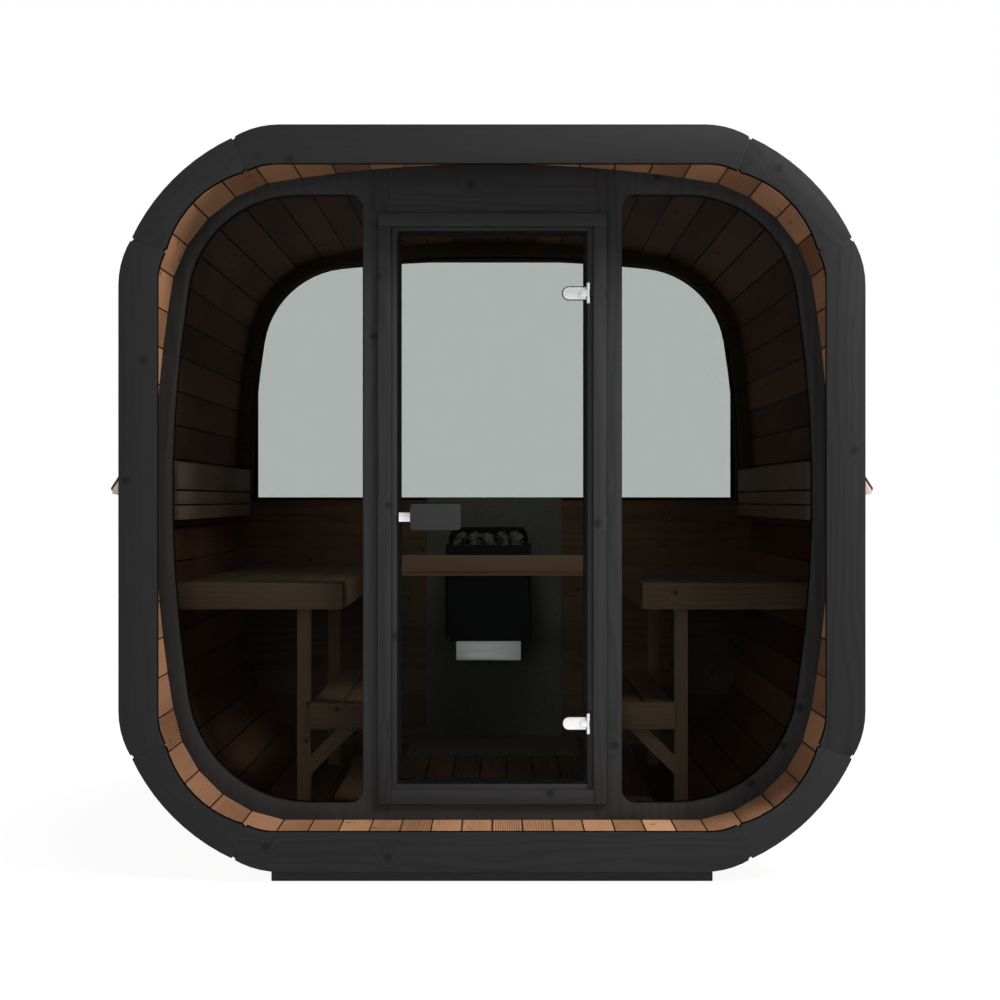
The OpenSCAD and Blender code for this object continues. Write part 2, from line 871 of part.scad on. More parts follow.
module hinge_plates() {
    color(steel)
        for (z = hinge_zs) {
            block([jamb_x, wall_y - clamp_t, z - knuckle_h / 2],
                [jamb_x + plate_l, wall_y, z + knuckle_h / 2]);
            translate([pin_x, pin_y, z - knuckle_h / 2])
                cylinder(d = pin_d, h = knuckle_h);
            for (z0 = [z - knuckle_h / 2, z + middle_h / 2]) {
                translate([pin_x, pin_y, z0])
                    cylinder(d = knuckle_d, h = middle_h);
                block([jamb_x, pin_y - arm_t / 2, z0],
                    [jamb_x + plate_l, wall_y, z0 + middle_h]);
            }
        }
}

/* Roof covering, drip battens and bands */
batten_z0 = floor_z + batten_z;
batten_x = half_w + stave_t + batten_out;
flap_lip = 4;

// Covered part of the outline: joints that stand above the batten
function covered() = [for (i = [0 : last_joint])
    if (joint(i, stave_t)[1] > batten_z0 + batten_h + 2 * cover_t) joint(i, stave_t + cover_t)];

function batten() = [[half_w, batten_z0], [batten_x, batten_z0 + batten_h / 6],
    [batten_x, batten_z0 + batten_h / 3],
    [half_w + stave_t, batten_z0 + batten_h], [half_w, batten_z0 + batten_h]];

module roof_covering() {
    half = concat(covered(), [
        [half_w + stave_t + cover_t, batten_z0 + batten_h + cover_t],
        [batten_x + flap_lip, batten_z0 + batten_h / 3 + cover_t],
        [batten_x + flap_lip, batten_z0 + batten_h / 3],
        [batten_x - over, batten_z0 + batten_h / 4]]);
    color("#232426")
        prism(front_y + arch_t, back_y - arch_t)
            difference() {
                polygon(concat(half, backward(flip(half))));
                shell_outside();
                polygon(batten());
                polygon(flip(batten()));
            }
}

module drip_battens() {
    color(pale)
        prism(front_y + arch_t, back_y - arch_t)
            difference() {
                union() {
                    polygon(batten());
                    polygon(flip(batten()));
                }
                shell_outside();
            }
}

module steel_bands() {
    color(steel)
        for (y = [front_y + band_inset, back_y - band_inset - band_w])
            prism(y, y + band_w)
                difference() {
                    polygon(section(stave_t + seat_gap + band_t));
                    shell_outside();
                    translate([-inner_w, batten_z0])
                        square([2 * inner_w, inner_w]);
                }
}

/* Benches */
bench_y0 = room_y0 + bench_gap;
bearer_y0 = bench_y0 + board_t;
lower_y1 = bench_y0 + lower_l;
rear_post_y = lower_y1 - board_t - post_w;
post_x0 = post_x - post_w / 2;

// Section drawn on both sides, trimmed to the staves, from y0 to y1
module fitted(y0, y1) {
    both_sides()
        prism(y0, y1)
            intersection() {
                room();
                children();
            }
}

module rect(x0, z0, x1, z1) {
    translate([x0, z0])
        square([x1 - x0, z1 - z0]);
}

// Bench slats between x0 and x1, with their top at z
module slats(x0, x1, z, y0, y1) {
    count = floor((x1 - x0 + slat_gap) / (slat_w + slat_gap));
    color(pale)
        fitted(y0, y1)
            for (i = [0 : count - 1])
                rect(x0 + i * (slat_w + slat_gap), z - board_t,
                    x0 + i * (slat_w + slat_gap) + slat_w, z);
}

module upper_bench_slats() {
    slats(upper_x + board_t, half_w - post_w, floor_z + upper_z, bearer_y0, room_y1);
}

module lower_bench_slats() {
    slats(lower_x + board_t, post_x0, floor_z + lower_z, bearer_y0, lower_y1 - board_t);
}

module upper_bench_frames() {
    z1 = floor_z + upper_z;
    z0 = z1 - edge_h;
    wall_x = half_w - board_t - post_w;
    color(pale) {
        fitted(bench_y0, bearer_y0)
            rect(upper_x, z0, half_w, z1);
        fitted(bearer_y0, room_y1)
            rect(upper_x, z0, upper_x + board_t, z1);
        fitted(bearer_y0, room_y1)
            rect(wall_x, z0, half_w, z1 - board_t);
        for (y = [bearer_y0, rear_post_y, room_y1 - post_w])
            fitted(y, y + post_w)
                rect(upper_x, z0, half_w, z1 - board_t);
    }
}

module lower_bench_frames() {
    z1 = floor_z + lower_z;
    z0 = z1 - edge_h;
    color(pale) {
        for (y = [bench_y0, lower_y1 - board_t])
            fitted(y, y + board_t)
                rect(lower_x, z0, post_x0, z1);
        fitted(bearer_y0, lower_y1 - board_t)
            rect(lower_x, z0, lower_x + board_t, z1);
        for (y = [bearer_y0, rear_post_y])
            fitted(y, y + post_w)
                rect(lower_x, z0, post_x0, z1 - board_t);
    }
}

module bench_posts() {
    top_z = floor_z + upper_z - edge_h;
    low_z = floor_z + lower_z - edge_h;
    foot_z = floor_z + brace_z;
    brace_w = post_w * sqrt(2);
    rise = low_z - foot_z - brace_w;
    color(pale)
        for (y = [bearer_y0, rear_post_y])
            fitted(y, y + post_w) {
                rect(post_x0, floor_z, post_x0 + post_w, top_z);
                polygon([[post_x0, foot_z], [post_x0, foot_z + brace_w],
                    [post_x0 - rise, low_z], [post_x0 - rise - brace_w, low_z]]);
            }
}

module backrests() {
    y0 = room_y0 + rest_end_gap;
    y1 = room_y1 - rest_end_gap;
    top_z = floor_z + rest_z;
    mid_z = top_z - rest_top_h - rest_seam;
    low_z = mid_z - rest_mid_h - rest_gap;
    face_x = half_w - rest_in;
    back_x = face_x + board_t;
    color(pale) {
        fitted(y0, y1) {
            rect(face_x, top_z - rest_top_h, back_x, top_z);
            rect(face_x, mid_z - rest_mid_h, back_x, mid_z);
            rect(face_x, low_z - rest_low_h, back_x, low_z);
        }
        for (y = [y0 + post_w, (y0 + y1 - post_w) / 2, y1 - 2 * post_w])
            fitted(y, y + post_w)
                rect(back_x, low_z - rest_low_h, half_w, top_z);
    }
}

/* Floor */
duck_z1 = floor_z + duck_h;
plate_y0 = room_y1 - plate_d;

module duckboards() {
    run = duck_count * (duck_w + duck_gap) - duck_gap;
    y0 = room_y0 + duck_end_gap;
    y1 = plate_y0 - duck_end_gap;
    slat_t = duck_h / 2;
    color(pale) {
        for (i = [0 : duck_count - 1])
            block([-run / 2 + i * (duck_w + duck_gap), y0, floor_z + slat_t],
                [-run / 2 + i * (duck_w + duck_gap) + duck_w, y1, duck_z1]);
        for (y = [y0 + post_w, (y0 + y1 - post_w) / 2, y1 - 2 * post_w])
            block([-run / 2, y, floor_z], [run / 2, y + post_w, floor_z + slat_t]);
    }
}

module floor_plate() {
    color("#55585a")
        block([-plate_w / 2, plate_y0, floor_z], [plate_w / 2, room_y1, duck_z1]);
}

/* Heater */
heater_y1 = room_y1 - panel_t - heater_gap;
heater_y0 = heater_y1 - heater_d;
rim_z = floor_z + heater_rim_z;
body_z0 = rim_z - rim_h - heater_h;
heater_x0 = heater_x - heater_w / 2;
heater_x1 = heater_x + heater_w / 2;
box_in = 6;
bracket_hw = 80;
bracket_h = 60;

module heater_panel() {
    color("#6a6f6b")
        block([-panel_w / 2, room_y1 - panel_t, duck_z1], [panel_w / 2, room_y1, sill_z]);
}

module heater_body() {
    color("#303433") {
        difference() {
            union() {
                block([heater_x0, heater_y0, rim_z - rim_h], [heater_x1, heater_y1, rim_z]);
                block([heater_x0 + fin_w, heater_y0, body_z0],
                    [heater_x1 - fin_w, heater_y1, rim_z]);
            }
            block([heater_x0 + fin_w + heater_sheet, heater_y0 + heater_sheet, rim_z - well_d],
                [heater_x1 - fin_w - heater_sheet, heater_y1 - heater_sheet, rim_z + over]);
        }
        for (x = [heater_x0, heater_x1 - heater_sheet])
            block([x, heater_y0, body_z0], [x + heater_sheet, heater_y1, rim_z]);
        for (x = [heater_x0 + fin_w, heater_x1 - fin_w - heater_sheet])
            block([x, heater_y0, rim_z], [x + heater_sheet, heater_y1, rim_z + guard_h]);
        rounded_block([heater_x0 + fin_w, heater_y1 - heater_sheet, rim_z - rim_h],
            [heater_x1 - fin_w, heater_y1, rim_z + back_h], back_r);
        block([heater_x - bracket_hw, heater_y1, rim_z - rim_h - bracket_h],
            [heater_x + bracket_hw, room_y1 - panel_t, rim_z - rim_h]);
    }
}

module heater_stones() {
    x0 = heater_x0 + fin_w + heater_sheet;
    x1 = heater_x1 - fin_w - heater_sheet;
    slope = heap_h;
    color("#6d6e6a")
        intersection() {
            prism(heater_y0 + heater_sheet, heater_y1 - heater_sheet)
                polygon([[x0, rim_z - well_d], [x1, rim_z - well_d], [x1, rim_z + heap_h / 3],
                    [x1 - slope, rim_z + heap_h], [x0 + slope, rim_z + heap_h],
                    [x0, rim_z + heap_h / 3]]);
            rotate([90, 0, 90])
                translate([0, 0, x0])
                    linear_extrude(height = x1 - x0)
                        polygon([[heater_y0 + heater_sheet, rim_z - well_d],
                            [heater_y1 - heater_sheet, rim_z - well_d],
                            [heater_y1 - heater_sheet, rim_z + heap_h],
                            [heater_y0 + slope, rim_z + heap_h],
                            [heater_y0 + heater_sheet, rim_z + heap_h / 4]]);
        }
}

module heater_box() {
    color(steel)
        rounded_block([heater_x - box_l / 2, heater_y0 + box_in, body_z0 - box_h],
            [heater_x + box_l / 2, heater_y0 + box_in + box_d, body_z0], box_in);
}

module guard_rail() {
    z1 = floor_z + rail_z;
    y1 = heater_y0 - rail_gap;
    batten_y0 = y1 - rail_t * 3 / 4;
    color(pale) {
        block([-upper_x, y1 - rail_t, z1 - rail_h], [upper_x, y1, z1]);
        block([-upper_x, batten_y0, z1 - rail_h - rail_batten_h], [upper_x, y1, z1 - rail_h]);
    }
}

base_beams();
floor_staves();
left_staves();
right_staves();
roof_staves();
corner_staves();
front_wall_left();
front_wall_right();
front_wall_header();
front_wall_sill();
front_window_glass();
door_jambs();
door_rails();
door_casing_sides();
door_casing_rails();
hinge_plates();
door_glass();
door_handle();
door_latch();
hinge_clamps();
rear_wall_lower();
rear_wall_rim();
rear_window_glass();
window_beads();
rear_inner_trim();
front_arch_boards();
front_arch_corners();
rear_arch_boards();
rear_arch_corners();
roof_covering();
drip_battens();
steel_bands();
upper_bench_slats();
upper_bench_frames();
lower_bench_slats();
lower_bench_frames();
bench_posts();
backrests();
duckboards();
floor_plate();
heater_panel();
heater_body();
heater_stones();
heater_box();
guard_rail();
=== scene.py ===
# %% [markdown]
# # An outdoor sauna cabin, dressed board by board
#
# The cabin is a shell of staves with a rounded square section. Black arch
# boards close both ends, glass fills the end walls, and shingles cover the
# upper half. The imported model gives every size, and this lesson adds what a
# carpenter, a roofer and a heater maker would add: single boards with eased
# edges, grain and knots, screws, seals, shingles and stones.

# %% Load the frame
import math
import random

import bmesh
import bpy
import numpy as np
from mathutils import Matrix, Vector, noise


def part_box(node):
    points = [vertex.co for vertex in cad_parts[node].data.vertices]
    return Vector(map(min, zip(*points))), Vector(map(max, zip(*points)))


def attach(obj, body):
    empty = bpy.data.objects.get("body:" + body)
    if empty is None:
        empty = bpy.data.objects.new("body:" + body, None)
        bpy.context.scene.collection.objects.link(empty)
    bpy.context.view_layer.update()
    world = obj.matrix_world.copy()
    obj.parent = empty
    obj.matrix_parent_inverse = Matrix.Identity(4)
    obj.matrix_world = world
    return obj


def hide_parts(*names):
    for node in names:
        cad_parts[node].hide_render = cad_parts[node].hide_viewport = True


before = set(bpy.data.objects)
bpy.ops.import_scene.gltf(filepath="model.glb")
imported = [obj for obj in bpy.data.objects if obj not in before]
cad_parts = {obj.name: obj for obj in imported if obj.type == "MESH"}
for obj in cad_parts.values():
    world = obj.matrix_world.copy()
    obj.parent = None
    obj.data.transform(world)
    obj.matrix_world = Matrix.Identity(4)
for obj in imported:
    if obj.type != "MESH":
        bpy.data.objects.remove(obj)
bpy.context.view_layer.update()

# %% [markdown]
# ## Camera
#
# The photograph looks straight at the front from a little over half the
# cabin's height. The lens follows from how much smaller the rear window looks
# than the front one. A camera that is level keeps all posts upright.

# %% Place the camera
LENS_MM = 57.1
CAMERA_SPOT = (0.025, -5.9385, 1.186)
camera_data = bpy.data.cameras.new("camera")
camera_data.lens = LENS_MM
camera = bpy.data.objects.new("camera", camera_data)
bpy.context.scene.collection.objects.link(camera)
camera.location = CAMERA_SPOT
camera.rotation_euler = (math.radians(90), 0, 0)
bpy.context.scene.camera = camera

# %% [markdown]
# ## Nodes by name
#
# A material is a small network of nodes. One helper adds a node and feeds its
# inputs, either with a plain number or with another node's output. Three more
# helpers do what most finishes need: paint between two colours, vary the
# roughness, and mix two shaders. So each material below reads from top to
# bottom.


# %% Helpers for materials
def material_with_shader(name):
    material = bpy.data.materials.new(name)
    material.use_nodes = True
    return material, material.node_tree, material.node_tree.nodes["Principled BSDF"]


def add(tree, kind, options=None, **feeds):
    node = tree.nodes.new("ShaderNode" + kind)
    for option, value in (options or {}).items():
        setattr(node, option, value)
    for socket, value in feeds.items():
        by_number = socket[0] == "n" and socket[1:].isdigit()
        key = int(socket[1:]) if by_number else socket.replace("_", " ")
        join(tree, value, node.inputs[key])
    return node


def join(tree, value, target):
    if isinstance(value, bpy.types.NodeSocket):
        tree.links.new(value, target)
    else:
        target.default_value = value


def calculate(tree, operation, a, b=0.0, c=0.0, clamp=False):
    options = {"operation": operation, "use_clamp": clamp}
    return add(tree, "Math", options, n0=a, n1=b, n2=c).outputs[0]


def blend_colours(tree, share, a, b, kind="MIX"):
    node = add(tree, "Mix", {"data_type": "RGBA", "blend_type": kind})
    join(tree, share, node.inputs[0])
    join(tree, a, node.inputs[6])
    join(tree, b, node.inputs[7])
    return node.outputs[2]


def spread(tree, value, low, high, to_low=0.0, to_high=1.0):
    node = add(tree, "MapRange", {"interpolation_type": "SMOOTHSTEP"}, Value=value)
    node.inputs["From Min"].default_value = low
    node.inputs["From Max"].default_value = high
    node.inputs["To Min"].default_value = to_low
    node.inputs["To Max"].default_value = to_high
    return node.outputs[0]


def scaled(tree, vector, factors):
    return add(tree, "VectorMath", {"operation": "MULTIPLY"}, n0=vector, n1=factors).outputs[0]


def bumped(tree, shader, height, depth, strength=0.5):
    bump = add(tree, "Bump", Height=height, Distance=depth, Strength=strength)
    tree.links.new(bump.outputs[0], shader.inputs["Normal"])


def place(tree):
    return add(tree, "TexCoord").outputs["Object"]


def paint(tree, shader, share, dark, light):
    colour = blend_colours(tree, share, (*dark, 1), (*light, 1))
    tree.links.new(colour, shader.inputs["Base Color"])


def roughen(tree, shader, value, smooth, rough, low=0.3, high=0.7):
    tree.links.new(spread(tree, value, low, high, smooth, rough), shader.inputs["Roughness"])


def mixed_surface(tree, share, first, second):
    mix = add(tree, "MixShader")
    join(tree, share, mix.inputs[0])
    tree.links.new(first.outputs[0], mix.inputs[1])
    tree.links.new(second.outputs[0], mix.inputs[2])
    tree.links.new(mix.outputs[0], tree.nodes["Material Output"].inputs["Surface"])


# %% [markdown]
# ## Wood
#
# Planed softwood shows growth rings drawn out along the board, fine fibres and
# a knot here and there. Every board below carries two attributes: "grain",
# its own place in metres along, across and through the board, and "shade", one
# number for how light the whole board is. The material stretches noise along
# the grain, bends the rings round the knots, and never repeats from board to
# board because each board starts at another place in the pattern. Boards that
# were sawn through the heart show close, strong stripes, and the others show
# wide, faint ones. The room tone is painted light and shade: it makes the part
# of a board that lies behind the front wall lighter or darker than the part on
# the porch, in place of the light inside the room.


# %% Wood that follows the grain of each board
KNOT_CELLS = 8.0
RING_WANDER = 26.0
KNOT_BEND = 10.0


def wood(name, light, dark, knot, roughness=0.55, contrast=0.5, relief=0.0006, gloss=0.35, ring=0.020,
         knot_size=0.07, painted_room_light=1.0):
    material, tree, shader = material_with_shader(name)
    grain = add(tree, "Attribute", {"attribute_name": "grain"}).outputs["Vector"]
    shade = add(tree, "Attribute", {"attribute_name": "shade"}).outputs["Fac"]
    cells = add(tree, "TexVoronoi", {"voronoi_dimensions": "2D"}, Vector=grain, Scale=KNOT_CELLS)
    from_knot = cells.outputs["Distance"]
    chosen = add(tree, "SeparateColor", Color=cells.outputs["Color"]).outputs[0]
    has_knot = spread(tree, chosen, 0.74, 0.76)
    heart = calculate(tree, "MULTIPLY", spread(tree, from_knot, knot_size * 1.5, knot_size * 0.4), has_knot)
    bend = calculate(tree, "MULTIPLY", spread(tree, from_knot, 0.42, 0.0), has_knot)
    wander = add(tree, "TexNoise", Vector=scaled(tree, grain, (1.3, 9.0, 9.0)), Scale=1.0, Detail=2.0)
    across = add(tree, "SeparateXYZ", Vector=grain).outputs[1]
    straight = calculate(tree, "MULTIPLY", across, 2 * math.pi / ring)
    phase = calculate(tree, "MULTIPLY_ADD", wander.outputs[0], RING_WANDER, straight)
    phase = calculate(tree, "MULTIPLY_ADD", bend, KNOT_BEND, phase)
    rings = calculate(tree, "MULTIPLY_ADD", calculate(tree, "SINE", phase), 0.5, 0.5)
    cut = calculate(tree, "FRACT", calculate(tree, "MULTIPLY", shade, 7.3))
    through_heart = spread(tree, cut, 0.3, 0.8, 0.35, 1.0)
    rings = calculate(tree, "MULTIPLY", calculate(tree, "POWER", rings, 2.2), through_heart)
    fibres = add(tree, "TexNoise", Vector=scaled(tree, grain, (6.0, 260.0, 260.0)), Scale=1.0, Detail=3.0)
    clouds = add(tree, "TexNoise", Vector=scaled(tree, grain, (1.1, 5.0, 5.0)), Scale=1.0, Detail=3.0)
    tone = calculate(tree, "MULTIPLY_ADD", rings, -0.8 * contrast, 0.5 + 0.3 * contrast)
    for pattern, part in ((fibres, 0.5 * contrast), (clouds, 0.9 * contrast)):
        lowered = calculate(tree, "SUBTRACT", tone, part / 2)
        tone = calculate(tree, "MULTIPLY_ADD", pattern.outputs[0], part, lowered)
    own_tone = calculate(tree, "MULTIPLY_ADD", shade, 0.8 * contrast, -0.4 * contrast)
    tone = calculate(tree, "ADD", tone, own_tone, clamp=True)
    colour = blend_colours(tree, tone, (*dark, 1), (*light, 1))
    colour = blend_colours(tree, calculate(tree, "MULTIPLY", heart, 0.85), colour, (*knot, 1))
    # Painted light and shade: behind the front wall the colour is multiplied by the room tone, a little
    # greener, in place of the room's own light.
    if painted_room_light != 1:
        depth = add(tree, "SeparateXYZ", Vector=place(tree)).outputs[1]
        painted_room_factor = spread(tree, depth, ROOM_Y0 - 0.01, ROOM_Y0 + 0.02, 1.0, painted_room_light)
        greener = calculate(tree, "MULTIPLY_ADD", painted_room_factor, 0.86, 0.14)
        filter_colour = add(tree, "CombineXYZ", X=painted_room_factor, Y=greener, Z=painted_room_factor).outputs[0]
        colour = blend_colours(tree, 1.0, colour, filter_colour, "MULTIPLY")
    tree.links.new(colour, shader.inputs["Base Color"])
    roughen(tree, shader, fibres.outputs[0], roughness - 0.06, roughness + 0.1)
    shader.inputs["Specular IOR Level"].default_value = gloss
    height = calculate(tree, "MULTIPLY_ADD", rings, -0.4, fibres.outputs[0])
    bumped(tree, shader, calculate(tree, "MULTIPLY_ADD", heart, -0.6, height), relief)
    return material


# %% The cabin's wood finishes: light tone, dark tone and knots of each
ROOM_Y0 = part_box("front_wall_sill")[1].y
stain = {"roughness": 0.62, "contrast": 0.35, "relief": 0.0004, "gloss": 0.2, "ring": 0.034,
         "knot_size": 0.11}
stained = wood("black_stained_wood", (0.0225, 0.0225, 0.023), (0.0092, 0.0092, 0.0097), (0.006, 0.006, 0.006),
               **stain)
# The staves get painted light inside the room, and the deck gets painted shade there, through the room tone.
browned = wood("browned_staves", (0.38, 0.190, 0.100), (0.10, 0.042, 0.021), (0.04, 0.019, 0.010),
               contrast=1.25, ring=0.0075, painted_room_light=1.35)
decking = wood("porch_deck", (0.60, 0.318, 0.170), (0.20, 0.091, 0.044), (0.07, 0.032, 0.016),
               contrast=1.2, ring=0.0075, painted_room_light=0.4)
wall_stain = wood("stained_wall", (0.034, 0.034, 0.0345), (0.014, 0.014, 0.0145), (0.007, 0.007, 0.007),
                  **stain)
# A near-black painted shade for the arch boards' faces that look into the opening.
inner_edge_painted_shade = wood("inner_edges_painted_shade", (0.0035, 0.0035, 0.0036), (0.002, 0.002, 0.002), (0.002, 0.002, 0.002),
                  roughness=0.7, contrast=0.3, relief=0.0004, gloss=0.05)
wall_wood = wood("rear_wall_wood", (0.36, 0.225, 0.130), (0.18, 0.102, 0.052), (0.09, 0.050, 0.026),
                 contrast=0.4, ring=0.06)
trim_wood = wood("trim_wood", (0.17, 0.105, 0.056), (0.08, 0.044, 0.022), (0.06, 0.034, 0.018),
                 contrast=0.5, ring=0.030)
# A painted shadow for the faces in the grooves between staves.
groove_painted_shadow = wood("groove_shadow", (0.10, 0.045, 0.022), (0.05, 0.022, 0.011), (0.02, 0.01, 0.006), contrast=0.4)
pale = wood("bench_wood", (0.52, 0.34, 0.225), (0.29, 0.175, 0.105), (0.11, 0.05, 0.025), contrast=0.5)
rest_wood = wood("backrest_wood", (0.68, 0.53, 0.41), (0.47, 0.345, 0.25), (0.13, 0.07, 0.04), contrast=0.4)
duck_wood = wood("duckboard_wood", (0.36, 0.19, 0.10), (0.16, 0.078, 0.038), (0.05, 0.025, 0.013),
                 contrast=0.6)
rail_wood = wood("guard_rail_wood", (0.95, 0.60, 0.39), (0.66, 0.38, 0.23), (0.2, 0.1, 0.05), contrast=0.4)
batten_wood = wood("batten_wood", (0.72, 0.56, 0.46), (0.56, 0.41, 0.32), (0.2, 0.1, 0.05), contrast=0.4)
finishes = (stained, wall_stain, inner_edge_painted_shade, browned, decking, groove_painted_shadow, wall_wood, trim_wood, pale, rest_wood,
            duck_wood, rail_wood, batten_wood)
print("wood finishes:", [finish.name for finish in finishes])

# %% [markdown]
# ## Boards
#
# A board is a closed form with edges eased by a plane. It is made once here, in
# bmesh: a ring of points in X and Z is drawn out along Y, then its sharp edges
# are bevelled. Nodes of the frame that already have the right shape give their
# own boards, each loose piece of the node being one.


# %% Make a board
SHARP = math.radians(25)


def ease_edges(form, ease, steps):
    bmesh.ops.recalc_face_normals(form, faces=form.faces[:])
    sharp = [e for e in form.edges if len(e.link_faces) == 2 and e.calc_face_angle(0) > SHARP]
    if ease > 0:
        bmesh.ops.bevel(form, geom=sharp, offset=ease, segments=steps, profile=0.6, affect="EDGES",
                        clamp_overlap=True)
    form.verts.index_update()
    points = [v.co.copy() for v in form.verts]
    faces = [[v.index for v in f.verts] for f in form.faces]
    form.free()
    return points, faces


def sawn(ring, y0, y1, ease=0.002, steps=2):
    form = bmesh.new()
    near = [form.verts.new((x, y0, z)) for x, z in ring]
    far = [form.verts.new((x, y1, z)) for x, z in ring]
    form.faces.new(near)
    form.faces.new(far)
    for i in range(len(ring)):
        j = (i + 1) % len(ring)
        form.faces.new((near[i], near[j], far[j], far[i]))
    return ease_edges(form, ease, steps)


def bar(x0, x1, y0, y1, z0, z1, ease=0.002, steps=2):
    return sawn([(x0, z0), (x1, z0), (x1, z1), (x0, z1)], y0, y1, ease, steps)


def flipped(boards):
    return [([Vector((-p.x, p.y, p.z)) for p in points], [face[::-1] for face in faces])
            for points, faces in boards]


def both_sides(boards):
    return boards + flipped(boards)


# %% Take the boards that a node already holds
SAME_POINT = 0.00002
FLAT = math.radians(1.0)


def boards_of(node, ease=0.002, steps=2):
    whole = bmesh.new()
    whole.from_mesh(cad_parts[node].data)
    bmesh.ops.remove_doubles(whole, verts=whole.verts[:], dist=SAME_POINT)
    bmesh.ops.dissolve_limit(whole, angle_limit=FLAT, verts=whole.verts[:], edges=whole.edges[:])
    done, boards = set(), []
    for start in whole.verts:
        if start in done:
            continue
        island, waiting = {start}, [start]
        while waiting:
            for link in waiting.pop().link_edges:
                new = [vertex for vertex in link.verts if vertex not in island]
                island.update(new)
                waiting += new
        done |= island
        form = bmesh.new()
        twin = {v: form.verts.new(v.co) for v in whole.verts if v in island}
        for face in whole.faces:
            if face.verts[0] in island:
                form.faces.new([twin[v] for v in face.verts])
        boards.append(ease_edges(form, ease, steps))
    whole.free()
    return boards


# %% [markdown]
# ## Joinery
#
# The boards of one node become one piece. The long axis of each board, found
# from its own points, is the way the grain runs. A piece may have a second
# finish on some faces, because the cabin is stained black outside and left
# natural within, and because the grooves between staves get a painted shadow.


# %% Join boards into a piece with grain
def piece(name, boards, finish, nodes, body="root", inside=None, smooth=30):
    chance = random.Random(name)
    points, faces, grain, shade = [], [], [], []
    for own_points, own_faces in boards:
        first = len(points)
        table = np.array([tuple(p) for p in own_points])
        centred = table - table.mean(0)
        axes = np.linalg.eigh(centred.T @ centred)[1][:, ::-1]
        start = np.array([chance.uniform(0, 40) for _ in range(3)])
        points += own_points
        faces += [[first + i for i in face] for face in own_faces]
        grain += list(centred @ axes + start)
        shade += [chance.random()] * len(own_points)
    mesh = bpy.data.meshes.new(name)
    mesh.from_pydata(points, [], faces)
    mesh.attributes.new("grain", "FLOAT_VECTOR", "POINT").data.foreach_set("vector", np.ravel(grain))
    mesh.attributes.new("shade", "FLOAT", "POINT").data.foreach_set("value", shade)
    return finished(name, mesh, finish, nodes, body, inside, smooth)


def finished(name, mesh, finish, nodes=(), body="root", inside=None, smooth=30):
    mesh.materials.append(finish)
    if inside:
        other_finish, is_inside = inside
        mesh.materials.append(other_finish)
        for face in mesh.polygons:
            face.material_index = int(is_inside(face))
    mesh.shade_smooth()
    mesh.set_sharp_from_angle(angle=math.radians(smooth))
    made = bpy.data.objects.new(name, mesh)
    bpy.context.scene.collection.objects.link(made)
    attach(made, body)
    if nodes:
        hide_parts(*([nodes] if isinstance(nodes, str) else nodes))
    print(name, "has", len(mesh.polygons), "faces")
    return made


# %% [markdown]
# ## Walk round the shell
#
# The staves are laid one after the other: half the top stave, six more at the
# top, four round the upper corner, twelve down the side, five round the lower
# corner, and the flat floor. Each one turns a little further than the last.
# The same walk as in the part's source gives their corners here. The top
# staves take the width that is left up to the widest place, so that the walk
# closes.

# %% Corner points of the staves
STAVE_T = 0.040
HALF_W, FLOOR_Z, CROWN_Z = 1.105, 0.139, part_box("roof_staves")[1].z - STAVE_T
UPPER_W, SIDE_W, LOWER_W = 0.113, 0.1184, 0.110
TURN = 9.0
angles = [TURN * i / 6 for i in range(1, 7)]
angles += [TURN + (90 - 2 * TURN) / 5 * i for i in range(1, 5)]
angles += [90 - TURN + 2 * TURN * i / 11 for i in range(12)]
angles += [90 + 15 * i for i in range(1, 6)]


def level_share(angle):
    return math.cos(math.radians(angle))


taken = sum(UPPER_W * level_share(a) for a in angles[6:10])
taken += sum(SIDE_W * level_share(a) for a in angles[10:22] if a < 90)
top_w = (HALF_W - taken) / (0.5 + sum(level_share(a) for a in angles[:6]))
widths = [top_w] * 6 + [UPPER_W] * 4 + [SIDE_W] * 12 + [LOWER_W] * 5
corners = [Vector((top_w / 2, CROWN_Z))]
for angle, width in zip(angles, widths):
    step = Vector((math.cos(math.radians(angle)), -math.sin(math.radians(angle))))
    corners.append(corners[-1] + width * step)
headings = [0.0] + angles + [180.0]
print("staves on each half:", len(angles))
print("the walk ends", round(corners[-1].y - FLOOR_Z, 5), "m above the floor")


def corner(i, out):
    turn = math.radians(headings[i + 1] - headings[i])
    middle = math.radians(headings[i + 1] + headings[i]) / 2
    return corners[i] + out / math.cos(turn / 2) * Vector((math.sin(middle), math.cos(middle)))


def section(out):
    half = [corner(i, out) for i in range(len(corners))]
    return half + [Vector((-p.x, p.y)) for p in half[::-1]]


def stave(i):
    return sawn([corner(i, 0), corner(i + 1, 0), corner(i + 1, STAVE_T), corner(i, STAVE_T)],
                STAVE_Y0, STAVE_Y1, GROOVE, 1)


# %% [markdown]
# ## Staves
#
# Heat-treated pine is brown all the way through. Every stave is a piece of
# its own length of timber, so each one gets its own tone. The small chamfers
# at the joints meet as a V groove, and its faces get a painted shadow, which
# draws the fine dark lines round the shell.

# %% Lay the staves
STAVE_Y0, STAVE_Y1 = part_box("roof_staves")[0].y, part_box("roof_staves")[1].y
GROOVE = 0.003


# Faces in the V grooves take the painted groove shadow.
def in_groove(face):
    return abs(face.normal.y) < 0.1 and face.area < 0.008 * (STAVE_Y1 - STAVE_Y0)


def staves(name, boards, finish, node):
    piece(name, boards, finish, node, inside=(groove_painted_shadow, in_groove))


